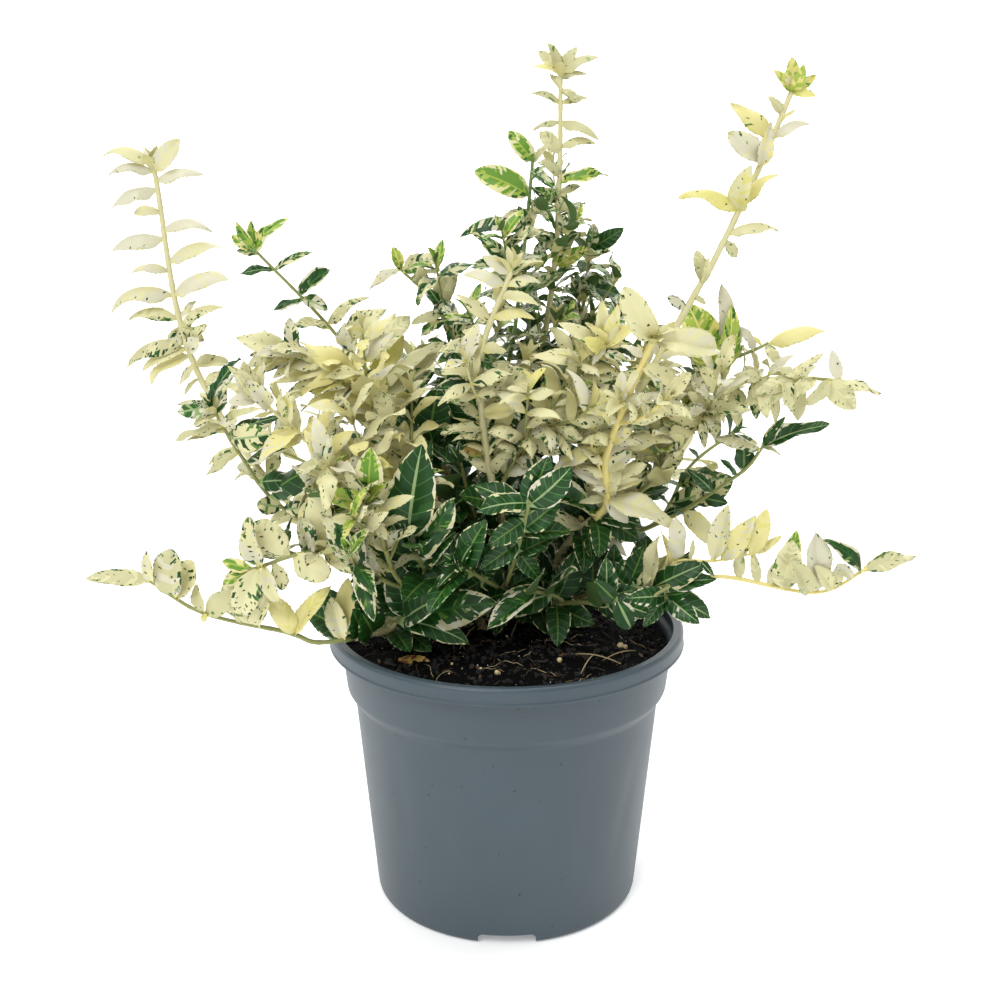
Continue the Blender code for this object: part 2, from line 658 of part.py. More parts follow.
def main():
    clear_scene()
    plastic = material("grey_blue_plastic", (0.13, 0.17, 0.2), 0.55)
    peat = material("moist_peat", (0.02, 0.013, 0.009), 0.95)
    bark = material("young_bark", (0.3, 0.25, 0.1), 0.75)
    pale = material("cream_foliage", (0.78, 0.76, 0.42), 0.45)
    green = material("green_foliage", (0.08, 0.2, 0.05), 0.42)

    space = Space()
    space.add_object(pot(plastic))
    space.add_object(soil(peat))
    ends = {"stem": grow_stem(bark, space)}
    ends.update(grow_boughs(bark, space))
    paths = {name: shoot_path(name, ends) for name in MASSES}
    for name, path in paths.items():
        space.add(name + "_stem", *tube(path, SHOOT_RADIUS, SHOOT_TIP_RADIUS, TWIG_SIDES))
    for name, path in paths.items():
        mass = Mass(name, path, space)
        mass.grow(*MASSES[name][2:])
        fuse(f"foliage_{name}", mass.pieces, pale if name in PALE else green)


main()
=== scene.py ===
"""A variegated wintercreeper in its plastic nursery pot: the finished look of every piece.

Metres, +Z up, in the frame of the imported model. Numbers in the tables are millimetres.
"""
import math
import random

import bmesh
import bpy
import numpy as np
from mathutils import Euler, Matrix, Quaternion, Vector, noise
from mathutils.bvhtree import BVHTree


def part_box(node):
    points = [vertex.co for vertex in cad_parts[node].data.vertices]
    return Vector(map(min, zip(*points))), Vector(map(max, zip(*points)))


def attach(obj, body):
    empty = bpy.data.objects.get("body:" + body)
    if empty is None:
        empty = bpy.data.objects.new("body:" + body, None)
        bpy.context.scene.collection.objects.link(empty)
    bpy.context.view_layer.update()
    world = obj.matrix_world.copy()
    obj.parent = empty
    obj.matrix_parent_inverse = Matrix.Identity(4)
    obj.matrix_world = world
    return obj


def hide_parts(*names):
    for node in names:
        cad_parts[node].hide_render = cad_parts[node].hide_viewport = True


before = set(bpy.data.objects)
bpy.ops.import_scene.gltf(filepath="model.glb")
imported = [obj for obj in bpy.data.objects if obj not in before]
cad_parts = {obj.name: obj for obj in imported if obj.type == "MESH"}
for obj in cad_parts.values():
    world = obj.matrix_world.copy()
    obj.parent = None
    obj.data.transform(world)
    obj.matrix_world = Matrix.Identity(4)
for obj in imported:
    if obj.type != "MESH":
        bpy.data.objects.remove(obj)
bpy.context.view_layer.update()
MM = 0.001


# The pot is a round two litre nursery pot, injection moulded in grey-blue polypropylene.
# Its body tapers to a foot ring with four drainage notches, and a stepped collar under a
# thick lip lets empty pots stack. It stands on the ring and holds everything else.
POT_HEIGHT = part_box("pot")[1][2]
RIM_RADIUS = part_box("pot")[1][0]
LIP_WIDTH = 5.2 * MM
LIP_HEIGHT = 8 * MM
LIP_BEAD = 0.35 * MM
COLLAR_TOP_RADIUS = 79.5 * MM
COLLAR_LOW_RADIUS = 77 * MM
COLLAR_CHAMFER_TOP = 106.5 * MM
BODY_TOP = 102 * MM
BODY_TOP_RADIUS = 73.4 * MM
FOOT_RADIUS = 64.2 * MM
FOOT_ROUND = 3 * MM
FOOT_RING_WIDTH = 7 * MM
WALL = 1.4 * MM
FLOOR_UNDERSIDE = 3.5 * MM
FLOOR_TOP = 5.6 * MM
PAD_RADIUS = 20 * MM
POT_STEPS = 168
POT_RING_SPACING = 4 * MM
BEND_REACH = 0.48
NOTCH_WIDTH = 27 * MM
NOTCH_HEIGHT = 5 * MM
NOTCH_ROUND = 2.5 * MM
NOTCHES = 4
# Soft creases in the front wall: from and to (across, height), and depth.
CREASES = (((-34, 62), (-19, 32), 0.5), ((8, 37), (24, 54), 0.42), ((-52, 96), (-44, 30), 0.3),
           ((40, 90), (33, 24), 0.26), ((60, 84), (50, 30), 0.35), ((-10, 96), (-24, 70), 0.25))
CREASE_WIDTH = 3.2 * MM


def linear(hex_colour):
    """An sRGB hex colour as linear red, green, blue and alpha."""
    values = []
    for i in (1, 3, 5):
        share = int(hex_colour[i:i + 2], 16) / 255
        values.append(share / 12.92 if share <= 0.04045 else ((share + 0.055) / 1.055) ** 2.4)
    return (*values, 1.0)


def new_material(name, colour, roughness, ior=1.5):
    mat = bpy.data.materials.new(name)
    mat.use_nodes = True
    shader = mat.node_tree.nodes["Principled BSDF"]
    shader.inputs["Base Color"].default_value = linear(colour)
    shader.inputs["Roughness"].default_value = roughness
    shader.inputs["IOR"].default_value = ior
    mat.diffuse_color = linear(colour)
    return mat


def add_node(mat, kind, inputs, **settings):
    """Adds a node: settings are its properties, inputs its socket values or links."""
    node = mat.node_tree.nodes.new(kind)
    for name, value in settings.items():
        setattr(node, name, value)
    join(mat, node, inputs)
    return node


def join(mat, node, inputs):
    for name, value in inputs.items():
        if isinstance(value, bpy.types.NodeSocket):
            mat.node_tree.links.new(value, node.inputs[name])
        else:
            node.inputs[name].default_value = value


def shader_of(mat):
    return mat.node_tree.nodes["Principled BSDF"]


def grained(mat, grain, depth, detail=3.0):
    """Fine relief of a grain size and depth in metres, on the shader's normal."""
    place = add_node(mat, "ShaderNodeTexCoord", {})
    grain_noise = add_node(mat, "ShaderNodeTexNoise", {
        "Vector": place.outputs["Object"], "Scale": 1 / grain, "Detail": detail})
    bump = add_node(mat, "ShaderNodeBump", {
        "Height": grain_noise.outputs["Fac"], "Strength": 1.0, "Distance": depth})
    join(mat, shader_of(mat), {"Normal": bump.outputs["Normal"]})
    return place, grain_noise


def new_piece(name, points, faces, materials, tones=None, sharp=40):
    """A mesh object from points and faces, smooth but for edges over the sharp angle."""
    mesh = bpy.data.meshes.new(name)
    mesh.from_pydata([tuple(p) for p in points], [], faces)
    for mat in materials:
        mesh.materials.append(mat)
    if tones is not None:
        mesh.polygons.foreach_set("material_index", tones)
    mesh.shade_smooth()
    mesh.set_sharp_from_angle(angle=math.radians(sharp))
    piece = bpy.data.objects.new(name, mesh)
    bpy.context.scene.collection.objects.link(piece)
    return piece


def bent_profile(corners, steps=4):
    """Corners (radius, height, rounding) as a line whose corners are smooth bends."""
    line = []
    for i, (radius, height, bend) in enumerate(corners):
        here = Vector((radius, height))
        if not bend:
            line.append(here)
            continue
        before = Vector(corners[i - 1][:2]) - here
        after = Vector(corners[i + 1][:2]) - here
        start = here + before.normalized() * min(bend, before.length * BEND_REACH)
        stop = here + after.normalized() * min(bend, after.length * BEND_REACH)
        for step in range(steps + 1):
            t = step / steps
            line.append(start * (1 - t) ** 2 + here * 2 * t * (1 - t) + stop * t ** 2)
    fine = [line[0]]
    for before, after in zip(line, line[1:]):
        parts = max(1, math.ceil((after - before).length / POT_RING_SPACING))
        fine += [before.lerp(after, part / parts) for part in range(1, parts + 1)]
    return fine


def crease_depth(across, height):
    """How far the soft creases push the wall in, at a place on the front."""
    depth = 0.0
    for start, stop, deep in CREASES:
        start, stop = Vector(start) * MM, Vector(stop) * MM
        here = Vector((across, height)) - start
        line = stop - start
        share = min(1.0, max(0.0, here.dot(line) / line.length_squared))
        away = (here - line * share).length / CREASE_WIDTH
        depth += deep * MM * math.exp(-away * away) * math.sin(math.pi * (0.08 + 0.84 * share))
    return depth


ON_AXIS = 1e-6


def turned_wall(profile, steps):
    """Points and faces of a closed solid of revolution from the axis, round, to the axis."""
    points, rings = [], []
    for radius, height in profile:
        if radius < ON_AXIS:
            rings.append([len(points)] * steps)
            points.append(Vector((0, 0, height)))
            continue
        rings.append(list(range(len(points), len(points) + steps)))
        for k in range(steps):
            angle = math.tau * k / steps
            inward = 0.0
            if radius > PAD_RADIUS * 2 and math.sin(angle) < 0:
                inward = crease_depth(radius * math.cos(angle), height)
            reach = radius - inward
            points.append(Vector((reach * math.cos(angle), reach * math.sin(angle), height)))
    faces = []
    for low, high in zip(rings, rings[1:]):
        for k in range(steps):
            n = (k + 1) % steps
            face = [low[k], low[n], high[n], high[k]]
            faces.append([v for i, v in enumerate(face) if v not in face[:i]])
    return points, faces


def notch_cutter(turn):
    """A round-cornered tunnel through the foot ring, open downwards."""
    half = NOTCH_WIDTH / 2
    outline = [(-half, -NOTCH_HEIGHT), (half, -NOTCH_HEIGHT)]
    for centre, start in ((half - NOTCH_ROUND, 0), (NOTCH_ROUND - half, 90)):
        for step in range(7):
            angle = math.radians(start + 15 * step)
            outline.append((centre + NOTCH_ROUND * math.cos(angle),
                            NOTCH_HEIGHT - NOTCH_ROUND + NOTCH_ROUND * math.sin(angle)))
    reaches = (FOOT_RADIUS - FOOT_RING_WIDTH - 2 * FOOT_ROUND, FOOT_RADIUS + FOOT_RING_WIDTH)
    spin = Quaternion((0, 0, 1), turn)
    points = [spin @ Vector((x, -reach, z)) for reach in reaches for x, z in outline]
    count = len(outline)
    faces = [list(range(count)), list(range(2 * count - 1, count - 1, -1))]
    for i in range(count):
        j = (i + 1) % count
        faces.append([j, i, i + count, j + count])
    cutter = new_piece("notch_cutter", points, faces, [])
    bm = bmesh.new()
    bm.from_mesh(cutter.data)
    bmesh.ops.recalc_face_normals(bm, faces=bm.faces)
    bm.to_mesh(cutter.data)
    bm.free()
    return cutter


def cut_away(piece, cutters):
    """Cuts the shapes out of the piece and removes them."""
    for cutter in cutters:
        cut = piece.modifiers.new("cut", "BOOLEAN")
        cut.operation = "DIFFERENCE"
        cut.object = cutter
    bpy.context.view_layer.update()
    shape = piece.evaluated_get(bpy.context.evaluated_depsgraph_get())
    piece.data = bpy.data.meshes.new_from_object(shape)
    piece.modifiers.clear()
    for cutter in cutters:
        bpy.data.objects.remove(cutter, do_unlink=True)


# Moulded polypropylene: a dull, slightly waxy grey-blue whose tone drifts a little, with
# fine moulding grain, faint scuffs and a few specks of soil.
polypropylene = new_material("moulded_polypropylene", "#3C474D", 0.4, 1.49)
place, _ = grained(polypropylene, 0.5 * MM, 0.01 * MM)
drift = add_node(polypropylene, "ShaderNodeTexNoise", {
    "Vector": place.outputs["Object"], "Scale": 1 / (45 * MM), "Detail": 2.0})
drift_tone = add_node(polypropylene, "ShaderNodeMix", {
    "Factor": drift.outputs["Fac"], "A": linear("#37444C"), "B": linear("#425159")},
    data_type="RGBA")
specks = add_node(polypropylene, "ShaderNodeTexNoise", {
    "Vector": place.outputs["Object"], "Scale": 1 / (3.2 * MM), "Detail": 1.0})
speck_mask = add_node(polypropylene, "ShaderNodeMapRange", {
    "Value": specks.outputs["Fac"], "From Min": 0.76, "From Max": 0.79})
speck_tone = add_node(polypropylene, "ShaderNodeMix", {
    "Factor": speck_mask.outputs["Result"], "A": drift_tone.outputs["Result"],
    "B": linear("#2A3234")}, data_type="RGBA")
scuffs = add_node(polypropylene, "ShaderNodeMapRange", {
    "Value": drift.outputs["Fac"], "To Min": 0.36, "To Max": 0.52})
join(polypropylene, shader_of(polypropylene), {
    "Base Color": speck_tone.outputs["Result"], "Roughness": scuffs.outputs["Result"]})

lip_foot = POT_HEIGHT - LIP_HEIGHT
lip_inside = RIM_RADIUS - LIP_WIDTH
body_slope = (BODY_TOP_RADIUS - FOOT_RADIUS) / BODY_TOP
POT_PROFILE = [
    (0, 0, 0), (PAD_RADIUS, 0, 1 * MM), (PAD_RADIUS + 2 * MM, FLOOR_UNDERSIDE, 1 * MM),
    (FOOT_RADIUS - FOOT_RING_WIDTH, FLOOR_UNDERSIDE, 1 * MM),
    (FOOT_RADIUS - FOOT_RING_WIDTH + 2 * MM, 0, 1 * MM), (FOOT_RADIUS, 0, FOOT_ROUND),
    (BODY_TOP_RADIUS, BODY_TOP, 1.2 * MM), (COLLAR_LOW_RADIUS, COLLAR_CHAMFER_TOP, 1.4 * MM),
    (COLLAR_TOP_RADIUS, lip_foot, 0.5 * MM), (RIM_RADIUS, lip_foot, 0.5 * MM),
    (RIM_RADIUS, lip_foot + 0.9 * MM, 0.4 * MM),
    (RIM_RADIUS - LIP_BEAD, lip_foot + 1.5 * MM, 0.4 * MM),
    (RIM_RADIUS - LIP_BEAD, POT_HEIGHT - 1.2 * MM, 0.7 * MM),
    (RIM_RADIUS - 1.6 * MM, POT_HEIGHT, 0.5 * MM),
    (RIM_RADIUS - 2.6 * MM, POT_HEIGHT - 0.35 * MM, 0.5 * MM),
    (lip_inside, POT_HEIGHT - 0.5 * MM, 0.6 * MM), (lip_inside, lip_foot + 3 * MM, 1 * MM),
    (COLLAR_TOP_RADIUS - WALL, lip_foot, 1 * MM),
    (COLLAR_LOW_RADIUS - WALL, COLLAR_CHAMFER_TOP, 1 * MM),
    (BODY_TOP_RADIUS - WALL, BODY_TOP, 1 * MM),
    (FOOT_RADIUS + body_slope * FLOOR_TOP - WALL, FLOOR_TOP, 0), (0, FLOOR_TOP, 0),
]
nursery_pot = new_piece("nursery_pot", *turned_wall(bent_profile(POT_PROFILE), POT_STEPS),
                        [polypropylene])
cut_away(nursery_pot, [notch_cutter(math.tau * i / NOTCHES) for i in range(NOTCHES)])
nursery_pot.data.set_sharp_from_angle(angle=math.radians(40))
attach(nursery_pot, "root")
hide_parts("pot")


# Moist peat potting soil fills the pot to a centimetre under its rim. Its top is loose and
# lumpy, nearly black and darkened further with painted shade from the leaves, and lies a
# little higher round the stems.
SOIL_EDGE = 126 * MM
SOIL_MIDDLE = 129.5 * MM
SOIL_SHOULDER = 0.8
SOIL_SHOULDER_RADIUS = 0.6
SOIL_RADIUS = 77.4 * MM
SOIL_DEPTH = 14 * MM
SOIL_RING = 1.2 * MM
SOIL_STEPS = 220
# The lumps' widths and how far each pushes the top up or down.
SOIL_LUMPS = ((9 * MM, 0.9 * MM), (3.4 * MM, 0.75 * MM), (1.5 * MM, 0.4 * MM))


def soil_height(x, y):
    """Height of the solid soil's top over a point, as the boughs stand on it."""
    shoulder_radius = SOIL_SHOULDER_RADIUS * (COLLAR_TOP_RADIUS - WALL)
    drop = (1 - SOIL_SHOULDER) * (SOIL_MIDDLE - SOIL_EDGE)
    return SOIL_MIDDLE - drop * min(1.0, math.hypot(x, y) / shoulder_radius)


def lumpy_height(x, y):
    """Height of the loose top layer over a point."""
    shoulder = SOIL_SHOULDER_RADIUS * (COLLAR_TOP_RADIUS - WALL)
    outside = max(0.0, math.hypot(x, y) - shoulder) / (SOIL_RADIUS - shoulder)
    height = soil_height(x, y) - outside * SOIL_SHOULDER * (SOIL_MIDDLE - SOIL_EDGE)
    for size, depth in SOIL_LUMPS:
        height += depth * noise.noise(Vector((x / size, y / size, size / MM)))
    return height


def two_toned(mat, grain, tones, places):
    """Runs the colour from the first tone to the second between two places of the grain."""
    ramp = add_node(mat, "ShaderNodeValToRGB", {"Fac": grain.outputs["Fac"]})
    for element, tone, place in zip(ramp.color_ramp.elements, tones, places):
        element.position = place
        element.color = linear(tone)
    join(mat, shader_of(mat), {"Base Color": ramp.outputs["Color"]})


rings = round(SOIL_RADIUS / SOIL_RING)
soil_points = [Vector((0, 0, lumpy_height(0, 0)))]
for ring in range(1, rings + 1):
    radius = SOIL_RADIUS * ring / rings
    for k in range(SOIL_STEPS):
        angle = math.tau * k / SOIL_STEPS
        x, y = radius * math.cos(angle), radius * math.sin(angle)
        soil_points.append(Vector((x, y, lumpy_height(x, y))))
for k in range(SOIL_STEPS):
    angle = math.tau * k / SOIL_STEPS
    reach = SOIL_RADIUS - 2 * MM
    soil_points.append(Vector((reach * math.cos(angle), reach * math.sin(angle),
                               SOIL_EDGE - SOIL_DEPTH)))
soil_faces = [[0, 1 + k, 1 + (k + 1) % SOIL_STEPS] for k in range(SOIL_STEPS)]
for ring in range(rings):
    first = 1 + ring * SOIL_STEPS
    for k in range(SOIL_STEPS):
        n = (k + 1) % SOIL_STEPS
        soil_faces.append([first + k, first + k + SOIL_STEPS, first + n + SOIL_STEPS, first + n])
soil_faces.append(list(range(len(soil_points) - SOIL_STEPS, len(soil_points)))[::-1])

# Peat: a nearly black brown that drifts to brown fibre, wet enough to glint a little. Both
# tones are set darker than the peat's own, as painted shade from the leaves above.
peat = new_material("moist_peat", "#060606", 0.9, 1.2)
_, peat_grain = grained(peat, 1.1 * MM, 0.35 * MM, 6.0)
two_toned(peat, peat_grain, ("#030303", "#0B0A09"), (0.42, 0.74))
soil_bed = new_piece("soil_bed", soil_points, soil_faces, [peat])
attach(soil_bed, "root")
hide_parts("soil")


# Crumbs of peat, chips of bark, pale fertiliser and grit beads and fine roots lie loose on
# the soil. Each kind is one joined mesh, scattered by a seeded rule.
CRUMBS = 1500
CRUMB_SIZES = (0.45, 1.7)
CHIPS = 130
CHIP_SIZES = ((1.5, 4.5), (0.5, 1.1), (0.25, 0.6))
FIBRES = 70
SPECKS = 120
SPECK_SIZES = (0.2, 0.5)
LUMP_PUSHES = (0.72, 1.2)
FIBRE_STEPS = 7
FIBRE_STRIDES = (1.2, 2.6)
FIBRE_RADII = (0.1, 0.22)
STRAW_RADIUS = 0.28 * MM
HAIR_SIDES = 4
# Beads that stand out in the front strip: place across and in depth, and radius.
BEADS = ((-11.8, -45.8, 1.1), (-4.5, -51.6, 1.7), (-3.6, -49.9, 1.3), (24, -37.5, 1.7),
         (53.4, -16.4, 2.3), (55.8, -17.6, 1.6), (-25, -40, 0.9), (0, -6, 1.0), (36, -58, 0.8),
         (-60, 12, 1.5), (30, 58, 1.8), (-22, 62, 1.4), (62, 22, 1.3))
# Straws: from and to, each as its place across and in depth and its lift off the soil.
STRAWS = (((33, -49.3, 1), (40, -35, 4.5)), ((1.8, -8, 1), (9, 12, 7)),
          ((-22, -22, 1), (-15, -4, 6)), ((44, -34, 0.6), (60, -24, 2.2)),
          ((30, -30, 0.6), (52, -38, 1.6)), ((-46, 22, 0.8), (-30, 40, 3)))


def icosahedron():
    """Corners of a round lump, and which of them make each of its 20 faces."""
    golden = (1 + math.sqrt(5)) / 2
    corners = []
    for a in (-1, 1):
        for b in (-golden, golden):
            corners += [Vector((0, a, b)), Vector((a, b, 0)), Vector((b, 0, a))]
    faces = []
    for i in range(12):
        for j in range(i + 1, 12):
            for k in range(j + 1, 12):
                sides = ((i, j), (j, k), (k, i))
                if all(abs((corners[p] - corners[q]).length - 2) < 0.01 for p, q in sides):
                    normal = (corners[j] - corners[i]).cross(corners[k] - corners[i])
                    faces.append([i, j, k] if normal.dot(corners[i]) > 0 else [i, k, j])
    return [corner.normalized() for corner in corners], faces


LUMP_CORNERS, LUMP_FACES = icosahedron()


def add_lump(points, faces, centre, radii, dice, turn=None):
    """Adds an irregular lump, round but for its corners, which are pushed about."""
    first = len(points)
    turn = turn or Quaternion((dice.random(), dice.random(), dice.random(), 1)).normalized()
    for corner in LUMP_CORNERS:
        shape = Vector((corner[i] * radii[i] * dice.uniform(*LUMP_PUSHES) for i in range(3)))
        points.append(centre + turn @ shape)
    faces += [[first + i for i in face] for face in LUMP_FACES]


def add_to(points, faces, more):
    """Adds a shape's points and faces to those of a mesh that is being made."""
    first = len(points)
    points += more[0]
    faces += [[first + i for i in face] for face in more[1]]


def limb(path, radius_at, sides):
    """Points and faces of a closed limb; radius_at(share, angle) gives its radius."""
    side = (path[1] - path[0]).orthogonal().normalized()
    points = []
    for i, centre in enumerate(path):
        heading = (path[min(i + 1, len(path) - 1)] - path[max(i - 1, 0)]).normalized()
        side = (side - heading * side.dot(heading)).normalized()
        other = heading.cross(side)
        for k in range(sides):
            angle = math.tau * k / sides
            radius = radius_at(i / (len(path) - 1), angle)
            points.append(centre + radius * (math.cos(angle) * side + math.sin(angle) * other))
    faces = [list(range(sides))[::-1], list(range(len(points) - sides, len(points)))]
    for i in range(len(path) - 1):
        for k in range(sides):
            a = i * sides + k
            b = i * sides + (k + 1) % sides
            faces.append([a, b, b + sides, a + sides])
    return points, faces


def hair(path, radius):
    """Points and faces of a thin closed tube that tapers a little to both ends."""
    def radius_at(share, angle):
        return radius * (0.35 + 0.65 * math.sin(math.pi * (0.1 + 0.8 * share)))
    return limb(path, radius_at, HAIR_SIDES)


def on_soil(dice, edge=1.0):
    """A random place on the soil, even over its area."""
    reach = SOIL_RADIUS * edge * math.sqrt(dice.random())
    angle = dice.uniform(0, math.tau)
    x, y = reach * math.cos(angle), reach * math.sin(angle)
    return Vector((x, y, lumpy_height(x, y)))


def soil_piece(name, points, faces, materials, tones=None):
    """A piece of the soil's litter, which belongs to the pot's body."""
    piece = new_piece(name, points, faces, materials, tones, 30)
    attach(piece, "root")
    return piece


# Peat crumbs and bark: matt, from black to a warm brown; the peat crumbs are set darker
# than their own tone, as painted shade from the leaves above. Straw, beads and grit: pale
# and dry, so they stand out.
crumb_black = new_material("black_peat_crumb_painted_shade", "#050505", 0.8)
crumb_brown = new_material("brown_peat_crumb_painted_shade", "#0F0C0A", 0.85)
bark_brown = new_material("composted_bark", "#241A12", 0.8)
bark_tan = new_material("fresh_bark_fibre", "#5C452E", 0.75)
straw = new_material("dry_straw", "#B9A67C", 0.6)
bead = new_material("coated_fertiliser_bead", "#CDB98C", 0.4)
grit = new_material("perlite_grit", "#D9D5C8", 0.6)
for mat in (crumb_black, crumb_brown, bark_brown, bark_tan, straw, bead, grit):
    grained(mat, 0.4 * MM, 0.06 * MM)

dice = random.Random("crumbs")
points, faces, tones = [], [], []
for index in range(CRUMBS):
    centre = on_soil(dice, 0.985)
    size = dice.uniform(*CRUMB_SIZES) ** 1.4 * MM
    radii = [size * dice.uniform(0.5, 1.0) for _ in range(3)]
    add_lump(points, faces, centre + Vector((0, 0, size * 0.25)), radii, dice)
    tone = dice.choices((0, 1, 2), (6, 3, 1))[0]
    tones += [tone] * len(LUMP_FACES)
soil_piece("soil_crumbs", points, faces, [crumb_black, crumb_brown, bark_brown], tones)

dice = random.Random("bark chips")
points, faces, tones = [], [], []
for index in range(CHIPS):
    centre = on_soil(dice, 0.95)
    turn = Quaternion((0, 0, 1), dice.uniform(0, math.tau))
    turn @= Quaternion((1, 0, 0), dice.uniform(-0.5, 0.5))
    radii = [dice.uniform(*sizes) * MM for sizes in CHIP_SIZES]
    add_lump(points, faces, centre + Vector((0, 0, 0.5 * MM)), radii, dice, turn)
    tones += dice.choices((0, 1), (5, 2)) * len(LUMP_FACES)
soil_piece("bark_chips", points, faces, [bark_brown, bark_tan], tones)

dice = random.Random("fibres")
points, faces, tones = [], [], []
for index in range(FIBRES):
    start = on_soil(dice, 0.9)
    turn = dice.uniform(0, math.tau)
    path = [start + Vector((0, 0, 0.2 * MM))]
    for step in range(FIBRE_STEPS):
        turn += dice.uniform(-0.5, 0.5)
        stride = Vector((math.cos(turn), math.sin(turn), 0)) * dice.uniform(*FIBRE_STRIDES) * MM
        ahead = path[-1] + stride
        if math.hypot(ahead.x, ahead.y) > SOIL_RADIUS - 1 * MM:
            break
        ahead.z = lumpy_height(ahead.x, ahead.y) + dice.uniform(0.1, 0.9) * MM
        path.append(ahead)
    if len(path) < 3:
        continue
    before = len(faces)
    add_to(points, faces, hair(path, dice.uniform(*FIBRE_RADII) * MM))
    tones += dice.choices((0, 1), (2, 3)) * (len(faces) - before)
for start, stop in STRAWS:
    ends = []
    for x, y, lift in (start, stop):
        ends.append(Vector((x * MM, y * MM, lumpy_height(x * MM, y * MM) + lift * MM)))
    bow = Vector((0, 0, (ends[1] - ends[0]).length * 0.08))
    path = [ends[0].lerp(ends[1], i / 8) + bow * math.sin(math.pi * i / 8) for i in range(9)]
    before = len(faces)
    add_to(points, faces, hair(path, STRAW_RADIUS))
    tones += [0] * (len(faces) - before)
soil_piece("root_fibres", points, faces, [straw, bark_tan], tones)

dice = random.Random("beads")
points, faces, tones = [], [], []
for x, y, radius in BEADS:
    centre = Vector((x * MM, y * MM, lumpy_height(x * MM, y * MM) + radius * 0.6 * MM))
    add_lump(points, faces, centre, [radius * MM] * 3, dice)
    tones += [0] * len(LUMP_FACES)
for index in range(SPECKS):
    centre = on_soil(dice, 0.97)
    size = dice.uniform(*SPECK_SIZES) * MM
    add_lump(points, faces, centre + Vector((0, 0, size)), [size] * 3, dice)
    tones += dice.choices((0, 1), (1, 3)) * len(LUMP_FACES)
grit_beads = soil_piece("grit_beads", points, faces, [bead, grit], tones)
rounding = grit_beads.modifiers.new("rounding", "SUBSURF")
rounding.levels = rounding.render_levels = 1


# Eighteen woody boughs and one short stem leave the soil in a clump and lean outwards. They
# are young wood: tan bark, lightly ridged, with a swollen ring where each old leaf pair was.
# Each is named with its foot on the soil and its end, as the solids have them.
STEM_PLACE = (0, 28)
STEM_HEIGHT = 30
STEM_FLARE_RADIUS = 3.9 * MM
STEM_RADIUS = 3.0 * MM
STEM_LEAN = (-2, -3)
BOUGH_FOOT_RADIUS = 2.05 * MM
BOUGH_TIP_RADIUS = 1.55 * MM
BOUGH_RISE = 0.55
BOUGH_STEPS = 24
BOUGH_FLARE = 0.35
FLARE_LENGTH = 4 * MM
FOOT_SUNK = 1.5 * MM
BARK_STEP = 1.1 * MM
BARK_SIDES = 14
BARK_RIDGE = 0.14
RIDGES_ROUND = 2.2
RIDGE_LENGTH = 7 * MM
HEADING_REACH = 0.03
NODE_SPACING = 12 * MM
NODE_SWELL = 0.16
NODE_LENGTH = 1.0 * MM
GAP = 0.3 * MM
BOUGHS = {
    "centre": ((4, 34), (12, 44, 222)),
    "centre_back": ((-5, 34), (-10, 42, 220)),
    "front_centre": ((1, 21), (-4, 0, 196)),
    "left_front": ((-8, 20), (-34, -2, 200)),
    "left_back": ((-11, 34), (-38, 34, 214)),
    "left": ((-18, 24), (-62, 8, 166)),
    "left_low": ((-19, 11), (-46, -26, 162)),
    "left_trailing": ((-32, 4), (-69, -35, 140.5)),
    "low_left": ((-12, 5), (-22, -10, 146)),
    "low_centre": ((-2, 11), (-2, -12, 156)),
    "low_right": ((8, 16), (26, -6, 147)),
    "right_long": ((19, 28), (44, 4, 188)),
    "right": ((12, 38), (58, 20, 190)),
    "right_middle": ((22, 43), (68, 32, 172)),
    "right_low": ((20, 16), (68, -6, 154)),
    "back_right": ((9, 46), (42, 68, 196)),
    "back": ((-2, 45), (-6, 74, 188)),
    "back_left": ((-14, 43), (-52, 58, 170)),
}


def path_length(path):
    return sum((b - a).length for a, b in zip(path, path[1:]))


def point_along(path, share):
    """The point at a share of the path's length."""
    lengths = [(b - a).length for a, b in zip(path, path[1:])]
    left = share * sum(lengths)
    for i, length in enumerate(lengths):
        if left <= length:
            return path[i].lerp(path[i + 1], left / length)
        left -= length
    return path[-1].copy()


def heading_along(path, share):
    """The way the path runs at a share of its length."""
    low = point_along(path, max(0.0, share - HEADING_REACH))
    return (point_along(path, min(1.0, share + HEADING_REACH)) - low).normalized()


def evenly(path, step):
    """The path with a station about every step."""
    count = max(2, math.ceil(path_length(path) / step))
    return [point_along(path, i / count) for i in range(count + 1)]


def bark_radius(name, length, foot_radius, tip_radius, flare):
    """The radius of a bark-covered limb: its taper, flared foot, ridges and node rings."""
    phase = random.Random(name).uniform(0, 100)

    def radius_at(share, angle):
        along = share * length
        radius = foot_radius + (tip_radius - foot_radius) * share
        radius *= 1 + flare * math.exp(-along / FLARE_LENGTH)
        ridge = noise.noise(Vector((math.cos(angle) * RIDGES_ROUND,
                                    math.sin(angle) * RIDGES_ROUND,
                                    phase + along / RIDGE_LENGTH)))
        node = (along / NODE_SPACING + phase) % 1.0 - 0.5
        ring = math.exp(-(node * NODE_SPACING / NODE_LENGTH) ** 2)
        return radius * (1 + BARK_RIDGE * ridge + NODE_SWELL * ring)

    return radius_at


def bough_path(foot, end):
    """A limb that leaves the soil steeply and leans over towards its end."""
    x, y = foot[0] * MM, foot[1] * MM
    start = Vector((x, y, soil_height(x, y) + GAP))
    stop = Vector(end) * MM
    crook = start + Vector((0, 0, BOUGH_RISE * (stop.z - start.z)))
    path = []
    for i in range(BOUGH_STEPS + 1):
        t = i / BOUGH_STEPS
        path.append(start * (1 - t) ** 2 + crook * 2 * t * (1 - t) + stop * t ** 2)
    return path


def bark(name, furrow, ridge):
    """Young bark: darker in the furrows and paler on the ridges, with a dull sheen."""
    mat = new_material(name, "#9A8E62", 0.62)
    _, bark_grain = grained(mat, 0.9 * MM, 0.12 * MM, 4.0)
    two_toned(mat, bark_grain, (furrow, ridge), (0.36, 0.6))
    return mat
